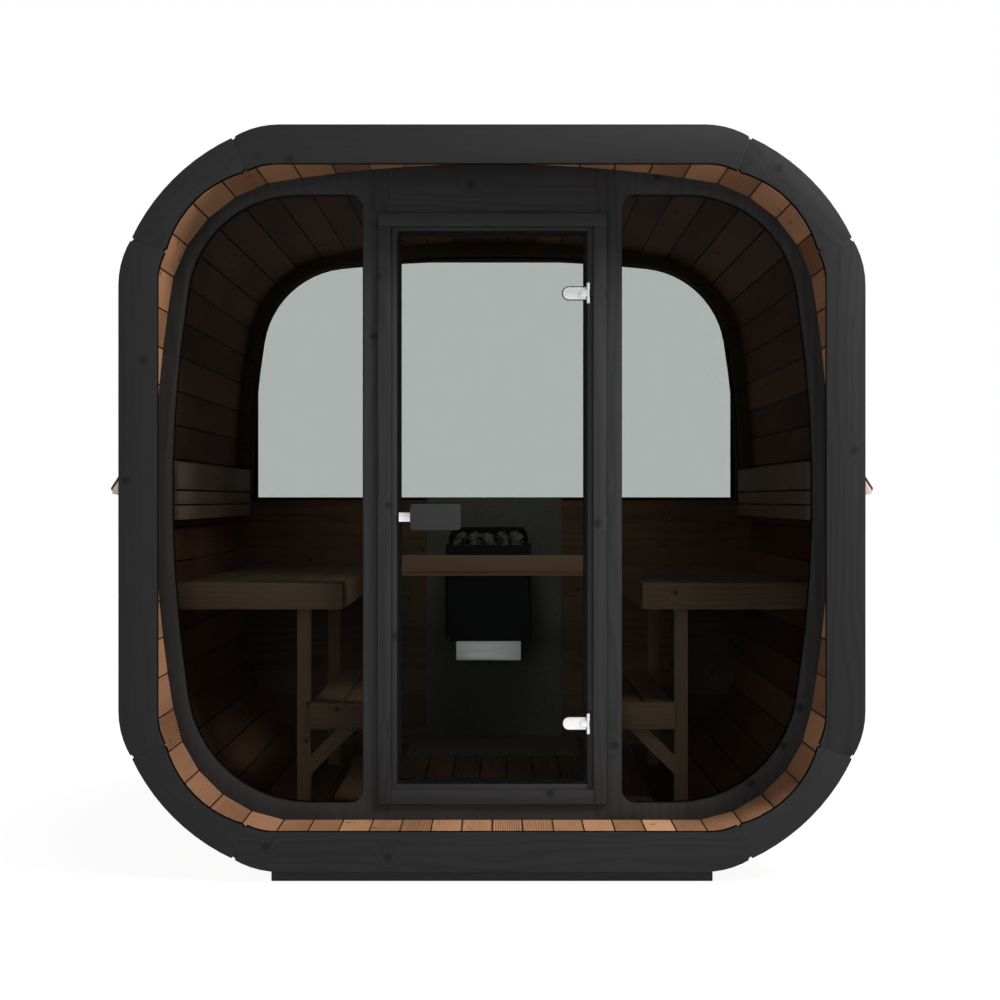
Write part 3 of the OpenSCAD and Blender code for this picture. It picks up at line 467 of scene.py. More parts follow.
crown_out = corner(0, STAVE_T)
crown_ring = [(-top_w / 2, CROWN_Z), (top_w / 2, CROWN_Z), crown_out, (-crown_out.x, CROWN_Z + STAVE_T)]
crown = sawn(crown_ring, STAVE_Y0, STAVE_Y1, GROOVE, 1)
staves("staves_roof", [crown] + both_sides([stave(i) for i in range(6)]), browned, "roof_staves")
round_corners = [stave(i) for i in (*range(6, 10), *range(22, 27))]
staves("staves_corners", both_sides(round_corners), browned, "corner_staves")
side_staves = [stave(i) for i in range(10, 22)]
staves("staves_right", side_staves, browned, "right_staves")
staves("staves_left", flipped(side_staves), browned, "left_staves")
FLOOR_BOARDS = 14
floor_half, floor_out = corners[-1].x, corner(len(corners) - 1, STAVE_T).x
floor_w = 2 * floor_half / FLOOR_BOARDS
floor_boards = []
for i in range(FLOOR_BOARDS):
    x0, x1 = -floor_half + i * floor_w, -floor_half + (i + 1) * floor_w
    low0 = -floor_out if i == 0 else x0
    low1 = floor_out if i == FLOOR_BOARDS - 1 else x1
    ring = [(x0, FLOOR_Z), (x1, FLOOR_Z), (low1, FLOOR_Z - STAVE_T), (low0, FLOOR_Z - STAVE_T)]
    floor_boards.append(sawn(ring, STAVE_Y0, STAVE_Y1, GROOVE, 1))
staves("staves_floor", floor_boards, decking, "floor_staves")
piece("beams", boards_of("base_beams", 0.003), stained, "base_beams")

# %% [markdown]
# ## Arch boards
# Eight boards frame each end: four straight ones with rounded ends and four
# bent corner pieces, with a small V cut at both ends of each joint. They are
# cut from wide planks and stained black. The grain runs along every board. The
# edges that face the opening carry painted shade, so they are darker.

# %% Arch boards at both ends
ARCH_Z = (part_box("front_arch_boards")[0].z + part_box("front_arch_boards")[1].z) / 2


def looks_to_the_middle(face):
    outward = face.normal.x * face.center.x + face.normal.z * (face.center.z - ARCH_Z)
    return outward < -0.3


# The faces that look into the opening take the painted shade.
for end in ("front", "rear"):
    for part in ("boards", "corners"):
        node = f"{end}_arch_{part}"
        piece(f"{node}_eased", boards_of(node, 0.0025), stained, node,
              inside=(inner_edge_painted_shade, looks_to_the_middle))

# %% [markdown]
# ## End walls and window beads
#
# The end walls are stained outside and natural inside. A face that looks into
# the room takes the natural finish.

# %% End walls
WALL_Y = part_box("front_wall_sill")[0].y
ROOM_Y1, REAR_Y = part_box("rear_wall_rim")[0].y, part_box("rear_wall_rim")[1].y


def looks_in_from_front(face):
    return face.center.y > ROOM_Y0 - 0.001 and face.normal.y > 0.5


def looks_in_from_rear(face):
    return face.center.y < ROOM_Y1 + 0.001 and face.normal.y < -0.5


for node in ("front_wall_left", "front_wall_right", "front_wall_header", "front_wall_sill", "door_jambs",
             "door_rails"):
    piece(f"{node}_eased", boards_of(node, 0.0015), wall_stain, node,
          inside=(pale, looks_in_from_front))
for node in ("door_casing_sides", "door_casing_rails", "window_beads"):
    piece(f"{node}_eased", boards_of(node, 0.002), wall_stain, node)
piece("rear_rim_eased", boards_of("rear_wall_rim", 0.0015), stained, "rear_wall_rim",
      inside=(wall_wood, looks_in_from_rear))
piece("rear_trim_eased", boards_of("rear_inner_trim", 0.002), trim_wood, "rear_inner_trim")


# %% [markdown]
# ## Rear wall boards
#
# Below the rear window the wall is a stack of level boards. The outline of the
# room cuts their ends, so a helper clips a ring of points to that outline.

# %% Clip a board to the room and build the rear wall
SEAT_GAP = 0.0002
PAST_SIDE = 1.3


def clipped(ring, outline):
    ring = [Vector(p) for p in ring]
    for i in range(len(outline)):
        a, b = outline[i], outline[(i + 1) % len(outline)]
        edge = b - a
        kept = []
        for j, p in enumerate(ring):
            q = ring[(j + 1) % len(ring)]
            side_p, side_q = edge.cross(p - a), edge.cross(q - a)
            if side_p <= 0:
                kept.append(p)
            if (side_p < 0 < side_q) or (side_q < 0 < side_p):
                kept.append(p.lerp(q, side_p / (side_p - side_q)))
        ring = kept
    return ring


room = section(-SEAT_GAP)


def fitted(x0, x1, y0, y1, z0, z1, ease=0.002):
    return sawn(clipped([(x0, z0), (x1, z0), (x1, z1), (x0, z1)], room), y0, y1, ease)


REAR_BOARDS, REAR_REACH = 10, 1.2
SILL_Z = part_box("rear_wall_rim")[0].z
BOARD_H = (SILL_Z - FLOOR_Z) / REAR_BOARDS
joints_z = [FLOOR_Z + i * BOARD_H for i in range(REAR_BOARDS + 1)]
rear_boards = [fitted(-REAR_REACH, REAR_REACH, ROOM_Y1, REAR_Y, z0, z1, 0.0025)
               for z0, z1 in zip(joints_z, joints_z[1:])]
piece("rear_wall_boards", rear_boards, stained, "rear_wall_lower",
      inside=(wall_wood, looks_in_from_rear))

# %% [markdown]
# ## Glass
#
# The panes are tinted grey-green. Light passes straight through a flat pane,
# so a see-through surface with a tint is mixed with a thin dark, glossy film.
# Light that comes in from outside crosses the tint at a slant and on a longer
# way, so the room behind is dimmer than the view through the pane. The cut
# edges of a pane look greener and deeper.


# %% Tinted glass
def tinted(name, dim, mirrored_light):
    material, tree, shader = material_with_shader(name)
    normal = add(tree, "TexCoord").outputs["Normal"]
    facing = calculate(tree, "ABSOLUTE", add(tree, "SeparateXYZ", Vector=normal).outputs[1])
    edge = spread(tree, facing, 0.9, 0.5)
    film = add(tree, "TexNoise", Vector=place(tree), Scale=3.0, Detail=4.0)
    paint(tree, shader, edge, (0.002, 0.003, 0.003), (0.003, 0.010, 0.008))
    roughen(tree, shader, film.outputs[0], 0.01, 0.04)
    shader.inputs["IOR"].default_value = 1.5
    rays = add(tree, "LightPath").outputs
    lighting = calculate(tree, "MAXIMUM", rays["Is Shadow Ray"], rays["Is Diffuse Ray"])
    if mirrored_light:
        lighting = calculate(tree, "MAXIMUM", lighting, rays["Is Glossy Ray"])
    dimmed = (0.96 * dim, 0.98 * dim, 0.97 * dim, 1)
    tint = blend_colours(tree, lighting, (0.812, 0.828, 0.822, 1), dimmed)
    clear = add(tree, "BsdfTransparent", Color=tint)
    film_share = calculate(tree, "MAXIMUM", calculate(tree, "MULTIPLY", edge, 0.9), 0.02)
    mixed_surface(tree, film_share, clear, shader)
    return material


def refinish(node, finish):
    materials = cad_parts[node].data.materials
    materials.clear()
    materials.append(finish)


window_tint = tinted("tinted_glass", 0.35, True)
door_tint = tinted("door_glass_tint", 0.42, False)
refinish("front_window_glass", window_tint)
refinish("rear_window_glass", window_tint)
refinish("door_glass", door_tint)

# %% [markdown]
# ## Seals
#
# A slim rubber strip closes the joint between glass and wood. It follows the
# pane's own outline: the points of the pane are sorted round its middle and
# moved inward to the edge of the opening. The door's seal lies on the stop
# behind the glass, and a thin black strip along both sides of the casing is
# painted shade for the shadow line in its corners.


# %% Rubber seals round the panes
def rubber():
    material, tree, shader = material_with_shader("black_rubber")
    specks = add(tree, "TexNoise", Vector=place(tree), Scale=900.0, Detail=2.0)
    paint(tree, shader, specks.outputs[0], (0.002, 0.002, 0.002), (0.005, 0.005, 0.005))
    roughen(tree, shader, specks.outputs[0], 0.6, 0.8)
    bumped(tree, shader, specks.outputs[0], 0.0002, 0.3)
    return material


def outline_of(node, keep):
    found = {(round(v.co.x, 5), round(v.co.z, 5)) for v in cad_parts[node].data.vertices if keep(v.co)}
    middle = Vector((sum(p[0] for p in found), sum(p[1] for p in found))) / len(found)
    ring = sorted(found, key=lambda p: math.atan2(p[1] - middle.y, p[0] - middle.x))
    return [Vector(p) for p in ring]


def moved_in(ring, distance):
    moved = []
    for i, p in enumerate(ring):
        before = (p - ring[i - 1]).normalized()
        after = (ring[(i + 1) % len(ring)] - p).normalized()
        inward = Vector((-before.y - after.y, before.x + after.x)).normalized()
        moved.append(p + distance / max(inward.dot(Vector((-before.y, before.x))), 0.5) * inward)
    return moved


def strip(outer, inner, y0, y1):
    count = len(outer)
    points = [Vector((p.x, y, p.y)) for y in (y0, y1) for ring in (outer, inner) for p in ring]
    faces = []
    for i in range(count):
        j = (i + 1) % count
        for a, b in ((0, 1), (1, 3), (3, 2), (2, 0)):
            faces.append([a * count + i, a * count + j, b * count + j, b * count + i])
    return points, faces


seal_black = rubber()
SEAL_NEAR, SEAL_FAR = 0.003, 0.0079
REBATE, SEAL_W = 0.0098, 0.0028
front_seal = (WALL_Y + SEAL_NEAR, WALL_Y + SEAL_FAR)
panes = (("front_window_glass", lambda co: co.x > 0, front_seal),
         ("front_window_glass", lambda co: co.x < 0, front_seal),
         ("rear_window_glass", lambda co: True, (REAR_Y - SEAL_FAR, REAR_Y - SEAL_NEAR)))
seals = []
for node, keep, depth in panes:
    opening = moved_in(outline_of(node, keep), REBATE)
    seals.append(strip(opening, moved_in(opening, SEAL_W), *depth))
piece("window_seals", seals, seal_black, ())


# %% Door seal, and painted shade strips by the casing
def square_ring(half_w, z0, z1):
    return [Vector((-half_w, z0)), Vector((half_w, z0)), Vector((half_w, z1)), Vector((-half_w, z1))]


glass_lo, glass_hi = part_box("door_glass")
DOOR_GAP, STOP_W, PLAY = 0.006, 0.013, 0.0003
seal_out = DOOR_GAP - PLAY
door_opening = square_ring(glass_hi.x + seal_out, glass_lo.z - seal_out, glass_hi.z + seal_out)
seal_in = moved_in(door_opening, STOP_W - 2 * PLAY)
door_seal = strip(door_opening, seal_in, glass_hi.y + 0.0012, glass_hi.y + DOOR_GAP - SEAT_GAP)
piece("door_seal", [door_seal], seal_black, ())
CASING_W, SHADE_STRIP_W = 0.044, 0.0025
shade_strip_y0, shade_strip_y1 = WALL_Y - 0.0012, WALL_Y - SEAT_GAP
casing_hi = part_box("door_casing_rails")[1]
casing_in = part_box("door_casing_sides")[1].x - CASING_W
# Thin black strips on both sides of the casing are painted shade: they draw the shadow line in the corners
# between casing, wall and jamb.
casing_shade_strips = []
for x in (casing_in - SHADE_STRIP_W - SEAT_GAP, casing_hi.x + SEAT_GAP):
    casing_shade_strips.append(bar(x, x + SHADE_STRIP_W, shade_strip_y0, shade_strip_y1, glass_lo.z, casing_hi.z - CASING_W, 0))
for z in (casing_hi.z - CASING_W - SHADE_STRIP_W - SEAT_GAP, casing_hi.z + SEAT_GAP):
    casing_shade_strips.append(bar(0, casing_in, shade_strip_y0, shade_strip_y1, z, z + SHADE_STRIP_W, 0))
piece("casing_sealant", both_sides(casing_shade_strips), seal_black, ())

# %% [markdown]
# ## Steel
#
# Fittings of brushed stainless steel catch long soft highlights. Fine streaks
# in the roughness give the brushed look, and a shallow bump breaks the
# reflection up. A thin gasket, a little larger than the clamp, lies between
# each hinge clamp and the glass.


# %% Brushed and polished steel
def metal(name, light, dark, low, high, stretch, metallic=1.0):
    material, tree, shader = material_with_shader(name)
    streaks = add(tree, "TexNoise", Vector=scaled(tree, place(tree), stretch), Scale=1.0, Detail=3.0)
    smears = add(tree, "TexNoise", Vector=place(tree), Scale=14.0, Detail=3.0)
    streak_share = calculate(tree, "MULTIPLY", streaks.outputs[0], 0.6)
    share = calculate(tree, "MULTIPLY_ADD", smears.outputs[0], 0.4, streak_share)
    paint(tree, shader, share, dark, light)
    roughen(tree, shader, streaks.outputs[0], low, high, 0.25, 0.75)
    shader.inputs["Metallic"].default_value = metallic
    bumped(tree, shader, streaks.outputs[0], 0.00005, 0.08)
    return material


brushed = metal("brushed_steel", (1.0, 1.0, 1.0), (0.93, 0.94, 0.95), 0.24, 0.34, (12, 700, 700), 0.6)
box_steel = metal("box_steel", (0.97, 1.0, 0.99), (0.93, 0.97, 0.96), 0.28, 0.40, (8, 260, 260), 0.9)
band_steel = metal("band_steel", (0.72, 0.73, 0.74), (0.50, 0.51, 0.52), 0.25, 0.45, (900, 12, 12))
fittings = (("door_latch", "door", brushed, 0.0012), ("hinge_clamps", "door", brushed, 0.003),
            ("hinge_plates", "root", brushed, 0.0012), ("heater_box", "root", box_steel, 0.0006))
for node, body, finish, ease in fittings:
    piece(f"{node}_polished", boards_of(node, ease, 3), finish, node, body)
refinish("steel_bands", band_steel)
piece("handle_blocks", boards_of("door_handle", 0.003, 3), wall_stain, "door_handle", "door")
CLAMP_HALF, CLAMP_END, GASKET_R, GASKET_X1 = 0.020, 0.0195, 0.0232, 0.3055
clamp_lo, clamp_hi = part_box("hinge_clamps")
end_x = clamp_lo.x + CLAMP_END
gaskets = []
for z in (clamp_lo.z + CLAMP_HALF, clamp_hi.z - CLAMP_HALF):
    turns = [math.radians(a) for a in range(-90, 91, 15)]
    ring = [(end_x - GASKET_R * math.cos(a), z + GASKET_R * math.sin(a)) for a in turns]
    ring += [(GASKET_X1, z + GASKET_R), (GASKET_X1, z - GASKET_R)]
    gaskets.append(sawn(ring, WALL_Y - 0.0012, WALL_Y - 0.0001, 0))
piece("clamp_gaskets", gaskets, seal_black, (), "door")


# %% [markdown]
# ## Screws
#
# Countersunk screw heads sit flush in the duckboards further down. One head is
# a flat disc with a rounded rim and a small six-sided drive, and it is repeated
# at each place.

# %% Screw heads
AROUND = 12


def screw(place_at, facing, radius):
    turn = Vector(facing).to_track_quat("Z", "Y")
    rows = [(radius, 0.0), (radius * 0.93, 0.0006), (radius * 0.45, 0.0007), (radius * 0.40, -0.0006)]
    points, faces = [], []
    for r, height in rows:
        for k in range(AROUND):
            angle = k * math.pi / 6
            out = r * (0.82 if r < radius * 0.5 and k % 2 else 1.0)
            local = Vector((out * math.cos(angle), out * math.sin(angle), height))
            points.append(Vector(place_at) + turn @ local)
    for row in range(len(rows) - 1):
        for k in range(AROUND):
            a, b = row * AROUND + k, row * AROUND + (k + 1) % AROUND
            faces.append([a, b, b + AROUND, a + AROUND])
    faces.append([(len(rows) - 1) * AROUND + k for k in range(AROUND)])
    return points, faces


# %% [markdown]
# ## Shingles
#
# The roof covering is bitumen shingle. Each tab is a thin sheet that follows
# the curve of the roof, lies over the one below and ends in a drip edge. The
# courses start at the eaves and are staggered by half a tab.


# %% Shingle grit
def grit():
    material, tree, shader = material_with_shader("shingle_grit")
    shade = add(tree, "Attribute", {"attribute_name": "shade"}).outputs["Fac"]
    grains = add(tree, "TexVoronoi", Vector=place(tree), Scale=700.0)
    patches = add(tree, "TexNoise", Vector=place(tree), Scale=7.0, Detail=4.0)
    between = grains.outputs["Distance"]
    colour = blend_colours(tree, between, (0.012, 0.012, 0.013, 1), (0.075, 0.077, 0.082, 1))
    own_tone = calculate(tree, "MULTIPLY_ADD", shade, 0.5, 0.35)
    tone = calculate(tree, "MULTIPLY_ADD", patches.outputs[0], 0.6, own_tone)
    grey = add(tree, "CombineXYZ", X=tone, Y=tone, Z=tone).outputs[0]
    colour = blend_colours(tree, 1.0, colour, grey, "MULTIPLY")
    tree.links.new(colour, shader.inputs["Base Color"])
    roughen(tree, shader, patches.outputs[0], 0.78, 0.92)
    bumped(tree, shader, between, 0.0008, 0.7)
    return material


shingle_finish = grit()
refinish("roof_covering", shingle_finish)

# %% Lay the shingles
COVER = STAVE_T + 0.0062
eave = Vector((HALF_W + COVER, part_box("drip_battens")[1].z + 0.008))
upward = [corner(i, COVER) for i in reversed(range(len(corners)))]
path = [eave] + [p for p in upward if p.y > eave.y + 0.02]
path.append(Vector((0, CROWN_Z + COVER)))
reach = [0.0]
for a, b in zip(path, path[1:]):
    reach.append(reach[-1] + (b - a).length)
COURSE, OVERLAP, TAB, SLIT = 0.143, 0.02, 0.252, 0.002
SHEET, BEDDING, LIFT, NIP, STEPS = 0.0022, 0.0006, 0.0028, 0.012, 3


def on_roof(s):
    s = min(max(s, 0), reach[-1] - 1e-6)
    k = max(i for i in range(len(reach) - 1) if reach[i] <= s)
    along = (path[k + 1] - path[k]).normalized()
    return path[k] + (s - reach[k]) * along, Vector((along.y, -along.x))


def tab(s0, s1, y0, y1):
    rows = []
    for k in range(STEPS + 1):
        spot, out = on_roof(s0 + (s1 - s0) * k / STEPS)
        raised = BEDDING + LIFT * (1 - k / STEPS)
        rows.append((spot + raised * out, spot + (raised + SHEET) * out))
    points, faces = [], []
    for k, (low, high) in enumerate(rows):
        inset = NIP if k == 0 else 0.0
        for p in (low, high):
            points += [Vector((p.x, y0 + inset, p.y)), Vector((p.x, y1 - inset, p.y))]
    for k in range(STEPS):
        a, b = 4 * k, 4 * k + 4
        faces += [[a + 2, a + 3, b + 3, b + 2], [a, b, b + 1, a + 1]]
        faces += [[a, a + 2, b + 2, b], [a + 1, b + 1, b + 3, a + 3]]
    end = 4 * STEPS
    faces += [[0, 1, 3, 2], [end, end + 2, end + 3, end + 1]]
    return points, faces


chance = random.Random(7)
tabs = []
courses = int(reach[-1] / COURSE)
roof_y0, roof_y1 = STAVE_Y0 + 0.001, STAVE_Y1 - 0.001
for course in range(courses + 1):
    s0 = course * COURSE
    s1 = min(s0 + COURSE + OVERLAP, reach[-1])
    y = roof_y0 - (TAB / 2 if course % 2 else 0)
    while y < roof_y1 - 0.01:
        a, b = max(y + SLIT, roof_y0), min(y + TAB - SLIT, roof_y1)
        if b - a > 0.03 and s1 - s0 > 0.05:
            tabs.append(tab(s0 + chance.uniform(-0.001, 0.001), s1, a, b))
        y += TAB
CAP_HALF, CAP_L, CAP_STEP = 0.12, 0.17, 0.168
z0 = CROWN_Z + COVER
underside = [(-CAP_HALF, z0 + 0.0008), (0, z0 + 0.0065), (CAP_HALF, z0 + 0.0008)]
top_side = [(CAP_HALF, z0 + 0.003), (0, z0 + 0.0092), (-CAP_HALF, z0 + 0.003)]
ridge = []
y = roof_y0
while y < roof_y1 - 0.05:
    ridge.append(sawn(underside + top_side, y + 0.001, min(y + CAP_L, roof_y1), 0))
    y += CAP_STEP
piece("shingle_tabs", both_sides(tabs) + ridge, shingle_finish, (), smooth=20)
piece("drip_battens_eased", boards_of("drip_battens", 0.0015), batten_wood, "drip_battens")
print("shingle courses on each side:", courses + 1)

# %% [markdown]
# ## Benches
#
# The upper benches run the whole depth of the room and the lower ones part of
# it. Slats lie along the room on cross bearers behind a deep edge board. Each
# board is its own piece of timber, so each is made here from its own corners.

# %% Sizes of the benches
UP_X, UP_Z = 0.500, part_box("upper_bench_frames")[1].z
EDGE_H, BOARD, POST, EASED = 0.088, 0.022, 0.045, 0.003
SLAT_W, SLAT_PITCH = 0.095, 0.105
BENCH_Y0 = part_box("upper_bench_frames")[0].y
BEARER_Y0 = BENCH_Y0 + BOARD
LOW_X, LOW_Z = 0.385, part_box("lower_bench_frames")[1].z
LOW_Y1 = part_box("lower_bench_frames")[1].y
REAR_POST_Y = LOW_Y1 - BOARD - POST
POST_X0 = 0.632 - POST / 2


def row_of_slats(x, count, width, pitch, y0, y1, z0, z1):
    return [bar(x + i * pitch, x + i * pitch + width, y0, y1, z0, z1, EASED) for i in range(count)]


# %% Upper benches
slats = row_of_slats(UP_X + BOARD, 5, SLAT_W, SLAT_PITCH, BEARER_Y0, ROOM_Y1, UP_Z - BOARD, UP_Z)
piece("upper_slats", both_sides(slats), pale, "upper_bench_slats")
wall_x = HALF_W - BOARD - POST
edges = [fitted(UP_X, PAST_SIDE, BENCH_Y0, BEARER_Y0, UP_Z - EDGE_H, UP_Z, EASED),
         bar(UP_X, UP_X + BOARD, BEARER_Y0, ROOM_Y1, UP_Z - EDGE_H, UP_Z, EASED),
         fitted(wall_x, PAST_SIDE, BEARER_Y0, ROOM_Y1, UP_Z - EDGE_H, UP_Z - BOARD)]
edges += [fitted(UP_X + BOARD, wall_x, y, y + POST, UP_Z - EDGE_H, UP_Z - BOARD)
          for y in (BEARER_Y0, REAR_POST_Y, ROOM_Y1 - POST)]
piece("upper_frames", both_sides(edges), pale, "upper_bench_frames")

# %% Lower benches, posts and braces
low_y1 = LOW_Y1 - BOARD
slats = row_of_slats(LOW_X + BOARD, 2, SLAT_W, SLAT_PITCH, BEARER_Y0, low_y1, LOW_Z - BOARD, LOW_Z)
piece("lower_slats", both_sides(slats), pale, "lower_bench_slats")
edges = [bar(LOW_X, POST_X0, BENCH_Y0, BEARER_Y0, LOW_Z - EDGE_H, LOW_Z, EASED),
         bar(LOW_X, POST_X0, low_y1, LOW_Y1, LOW_Z - EDGE_H, LOW_Z, EASED),
         bar(LOW_X, LOW_X + BOARD, BEARER_Y0, low_y1, LOW_Z - EDGE_H, LOW_Z, EASED)]
edges += [bar(LOW_X + BOARD, POST_X0, y, y + POST, LOW_Z - EDGE_H, LOW_Z - BOARD)
          for y in (BEARER_Y0, REAR_POST_Y)]
piece("lower_frames", both_sides(edges), pale, "lower_bench_frames")
BRACE_FOOT = 0.127
brace_z, brace_w = FLOOR_Z + BRACE_FOOT, POST * math.sqrt(2)
low_z = LOW_Z - EDGE_H
rise = low_z - brace_z - brace_w
posts = []
for y in (BEARER_Y0, REAR_POST_Y):
    posts.append(bar(POST_X0, POST_X0 + POST, y, y + POST, FLOOR_Z + SEAT_GAP, UP_Z - EDGE_H))
    posts.append(sawn([(POST_X0, brace_z), (POST_X0, brace_z + brace_w), (POST_X0 - rise, low_z),
                       (POST_X0 - rise - brace_w, low_z)], y, y + POST))
piece("posts_and_braces", both_sides(posts), pale, "bench_posts")

# %% [markdown]
# ## Backrests, duckboards and guard rail
#
# Three slats make each backrest, on short uprights against the wall. The
# duckboards lie on cross battens, with two screws where a board meets a batten.

# %% Backrests
REST_IN = 0.065
BELOW_TOP, REST_H = (0.0, 0.098, 0.147), (0.092, 0.044, 0.047)


def three_places(y0, y1):
    return y0 + POST, (y0 + y1 - POST) / 2, y1 - 2 * POST


rest_lo, rest_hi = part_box("backrests")
face_x = HALF_W - REST_IN
rest = []
for below, height in zip(BELOW_TOP, REST_H):
    top = rest_hi.z - below
    rest.append(bar(face_x, face_x + BOARD, rest_lo.y, rest_hi.y, top - height, top, EASED))
for y in three_places(rest_lo.y, rest_hi.y):
    rest.append(fitted(face_x + BOARD, PAST_SIDE, y, y + POST, rest_lo.z, rest_hi.z))
piece("backrest_slats", both_sides(rest), rest_wood, "backrests")

# %% Duckboards and their screws
DUCKS, DUCK_W, DUCK_PITCH = 11, 0.090, 0.099
SCREW_R, SCREWS_IN = 0.0035, (0.022, 0.068)
duck_lo, duck_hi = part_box("duckboards")
mid_z = (FLOOR_Z + duck_hi.z) / 2
ducks = row_of_slats(duck_lo.x, DUCKS, DUCK_W, DUCK_PITCH, duck_lo.y, duck_hi.y, mid_z, duck_hi.z)
battens_y = three_places(duck_lo.y, duck_hi.y)
ducks += [bar(duck_lo.x, duck_hi.x, y, y + POST, FLOOR_Z, mid_z) for y in battens_y]
piece("duckboard_slats", ducks, duck_wood, "duckboards")
duck_screws = [screw((duck_lo.x + i * DUCK_PITCH + dx, y + POST / 2, duck_hi.z), (0, 0, 1), SCREW_R)
               for i in range(DUCKS) for dx in SCREWS_IN for y in battens_y]
piece("duckboard_screws", duck_screws, brushed, ())

# %% Guard rail before the heater
RAIL_H, RAIL_BATTEN = 0.068, 0.021
rail_lo, rail_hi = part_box("guard_rail")
rail_z = rail_hi.z - RAIL_H
rail = [bar(rail_lo.x, rail_hi.x, rail_lo.y, rail_hi.y, rail_z, rail_hi.z, EASED),
        bar(rail_lo.x, rail_hi.x, rail_hi.y - RAIL_BATTEN, rail_hi.y, rail_lo.z, rail_z)]
piece("guard_rail_boards", rail, rail_wood, "guard_rail")


# %% [markdown]
# ## Heater
#
# A sheet steel case with a fine dark powder finish hangs on a stone-faced
# panel. It holds a heap of split stones, and the steel terminal box is below.

# %% Finishes near the heater
def powder_coat():
    material, tree, shader = material_with_shader("dark_powder_coat")
    pebble = add(tree, "TexNoise", Vector=place(tree), Scale=500.0, Detail=1.0)
    dust = add(tree, "TexNoise", Vector=place(tree), Scale=6.0, Detail=4.0)
    paint(tree, shader, dust.outputs[0], (0.006, 0.0085, 0.0078), (0.012, 0.016, 0.0145))
    roughen(tree, shader, dust.outputs[0], 0.5, 0.62)
    shader.inputs["Specular IOR Level"].default_value = 0.2
    bumped(tree, shader, pebble.outputs[0], 0.0001, 0.15)
    return material


def speckled(name, dark, light, scale):
    material, tree, shader = material_with_shader(name)
    chips = add(tree, "TexVoronoi", Vector=place(tree), Scale=scale)
    grain = add(tree, "TexNoise", Vector=place(tree), Scale=scale * 2.2, Detail=5.0)
    share = calculate(tree, "MULTIPLY", spread(tree, chips.outputs["Distance"], 0.2, 0.6), grain.outputs[0])
    paint(tree, shader, share, dark, light)
    roughen(tree, shader, grain.outputs[0], 0.6, 0.85)
    bumped(tree, shader, grain.outputs[0], 0.0008, 0.5)
    return material


coat = powder_coat()
panel_finish = speckled("speckled_panel", (0.19, 0.193, 0.160), (0.38, 0.385, 0.32), 160.0)
plate_finish = speckled("floor_tile", (0.19, 0.172, 0.130), (0.27, 0.25, 0.195), 120.0)
stone_finish = speckled("split_stone", (0.11, 0.110, 0.106), (0.62, 0.61, 0.59), 60.0)
piece("heater_case", boards_of("heater_body", 0.001), coat, "heater_body")
piece("wall_panel", boards_of("heater_panel", 0.0015), panel_finish, "heater_panel")
piece("floor_tile_plate", boards_of("floor_plate", 0.002), plate_finish, "floor_plate")


# %% Heap of stones
def rock(centre, size, seed):
    form = bmesh.new()
    bmesh.ops.create_icosphere(form, subdivisions=3, radius=1.0)
    stretch = Vector((1.0, 0.72 + 0.2 * math.sin(seed * 3.1), 0.62 + 0.15 * math.cos(seed * 1.7)))
    shift = Vector((seed * 3.7, seed * 1.3, -seed * 2.1))
    turn = Vector((math.sin(seed), math.cos(seed * 2.3), math.sin(seed * 0.7))).to_track_quat("X", "Z")
    for v in form.verts:
        facets = 1 + 0.30 * noise.noise(v.co * 1.1 + shift) + 0.10 * noise.cell(v.co * 1.9 + shift)
        local = Vector((v.co.x * stretch.x, v.co.y * stretch.y, v.co.z * stretch.z)) * facets * size
        v.co = centre + turn @ local
    points = [v.co.copy() for v in form.verts]
    faces = [[v.index for v in f.verts] for f in form.faces]
    form.free()
    return points, faces


heap_lo, heap_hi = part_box("heater_stones")
chance = random.Random(11)
LAYERS, LAYER_H, TOP_IN, ACROSS, STRAY = 4, 0.030, 0.024, 5, 0.006
rocks = []
for layer in range(LAYERS):
    layer_z = heap_hi.z - TOP_IN - layer * LAYER_H
    shrink, deep = (0.034, 4) if layer else (0.044, 3)
    span_x = heap_hi.x - heap_lo.x - 2 * shrink
    span_y = heap_hi.y - heap_lo.y - 2 * shrink
    for i in range(ACROSS):
        for j in range(deep):
            x = heap_lo.x + shrink + span_x * i / (ACROSS - 1) + chance.uniform(-STRAY, STRAY)
            y = heap_lo.y + shrink + span_y * j / (deep - 1) + chance.uniform(-STRAY, STRAY)
            z = layer_z + chance.uniform(-STRAY, 0.002)
            size = chance.uniform(0.027, 0.031)
            rocks.append(rock(Vector((x, y, z)), size, len(rocks) + 1.0))
piece("heater_rocks", rocks, stone_finish, "heater_stones", smooth=40)
print("stones in the heap:", len(rocks))

# %% [markdown]
# ## Floor, sky and light
#
# The cabin stands on a plain pale floor in soft light. A large lamp high at the
# front right lights it, a weak low one at the front left reaches the benches
# behind the glass, the sky fills the shadows, and a small lamp under the roof
# inside lifts the heater out of the dark. To the camera the sky and the distant
# floor are white, and the floor near the cabin keeps its soft shadow.


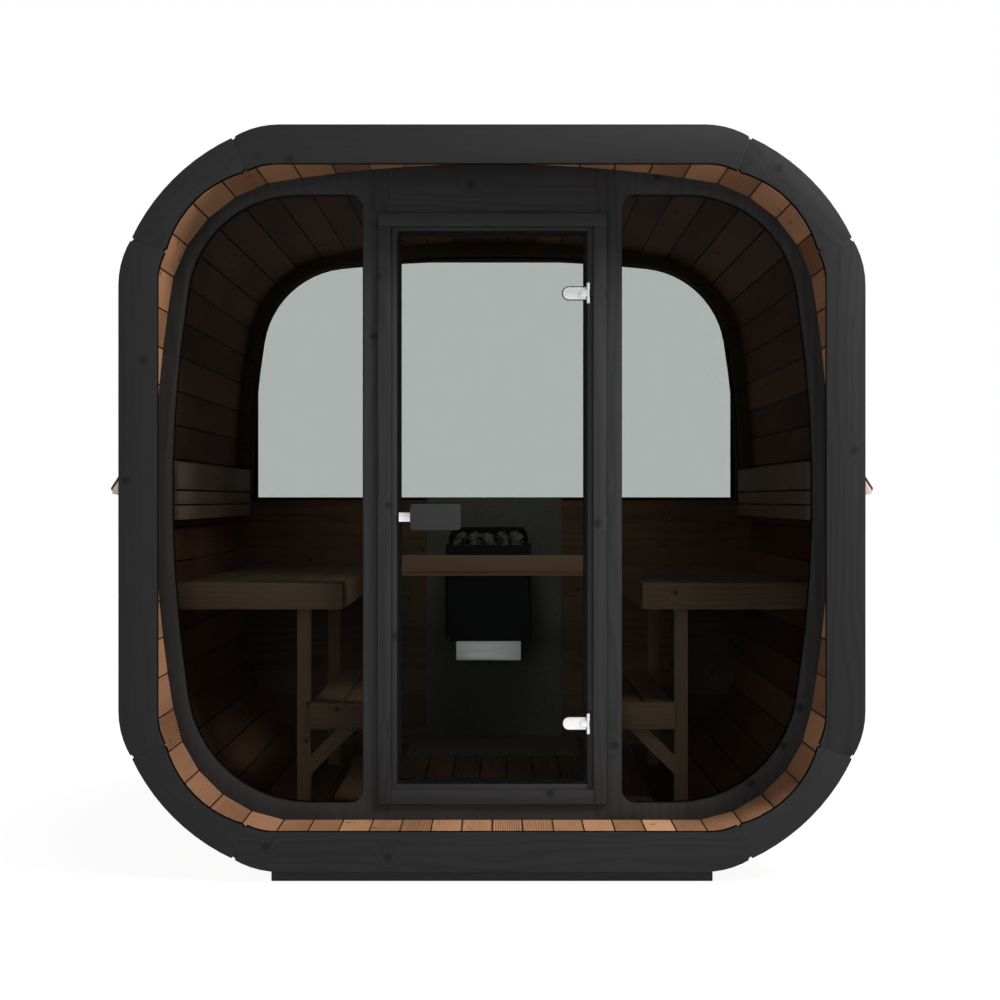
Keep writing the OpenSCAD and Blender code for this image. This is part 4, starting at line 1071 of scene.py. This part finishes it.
# %% Floor
def pale_floor():
    material, tree, shader = material_with_shader("pale_floor")
    shader.inputs["Base Color"].default_value = (0.65, 0.65, 0.65, 1)
    shader.inputs["Roughness"].default_value = 0.9
    shader.inputs["Specular IOR Level"].default_value = 0.0
    glow = add(tree, "Emission", Color=(1, 1, 1, 1), Strength=1.08)
    path_kind = add(tree, "LightPath")
    seen = calculate(tree, "MAXIMUM", path_kind.outputs["Is Camera Ray"], path_kind.outputs["Is Glossy Ray"])
    away = add(tree, "VectorMath", {"operation": "LENGTH"}, n0=place(tree)).outputs["Value"]
    share = calculate(tree, "MULTIPLY", seen, spread(tree, away, 1.3, 2.8, 0.86, 1.0))
    mixed_surface(tree, share, shader, glow)
    return material


REACH = 40
floor_corners = [(-REACH, -REACH, 0), (REACH, -REACH, 0), (REACH, REACH, 0), (-REACH, REACH, 0)]
floor_mesh = bpy.data.meshes.new("ground")
floor_mesh.from_pydata(floor_corners, [], [(0, 1, 2, 3)])
floor_mesh.materials.append(pale_floor())
ground = bpy.data.objects.new("ground", floor_mesh)
bpy.context.scene.collection.objects.link(ground)

# %% Sky
SKY, GLOSSY_SKY = 0.40, 0.28
world = bpy.data.worlds.new("studio")
bpy.context.scene.world = world
world.use_nodes = True
sky = world.node_tree
sky.nodes.clear()
path_kind = add(sky, "LightPath")
seen = calculate(sky, "MAXIMUM", path_kind.outputs["Is Camera Ray"], path_kind.outputs["Is Transmission Ray"])
mirrored = calculate(sky, "MULTIPLY_ADD", path_kind.outputs["Is Glossy Ray"], GLOSSY_SKY - SKY, SKY)
strength = calculate(sky, "MAXIMUM", seen, mirrored)
background = add(sky, "Background", Color=(1, 1, 1, 1), Strength=strength)
sky_out = sky.nodes.new("ShaderNodeOutputWorld")
sky.links.new(background.outputs[0], sky_out.inputs["Surface"])


# %% Lamps
def soft_lamp(name, spot, aim, size, power, cone=180, mirrored=True):
    data = bpy.data.lights.new(name, "AREA")
    data.shape = "DISK"
    data.size = size
    data.energy = power
    data.spread = math.radians(cone)
    lamp = bpy.data.objects.new(name, data)
    lamp.location = spot
    lamp.visible_glossy = mirrored
    lamp.rotation_euler = (Vector(aim) - Vector(spot)).to_track_quat("-Z", "Y").to_euler()
    bpy.context.scene.collection.objects.link(lamp)


soft_lamp("key_lamp", (3.6, -3.2, 5.0), (0, -0.8, 1.1), 2.0, 360)
soft_lamp("front_lamp", (-1.5, -6.3, 1.6), (0.3, 0, 1.1), 1.5, 75, mirrored=False)
soft_lamp("heater_lamp", (0, -0.45, 1.95), (0, 0.85, 0.95), 0.4, 0.27, 80)
bpy.context.scene.view_settings.view_transform = "Standard"
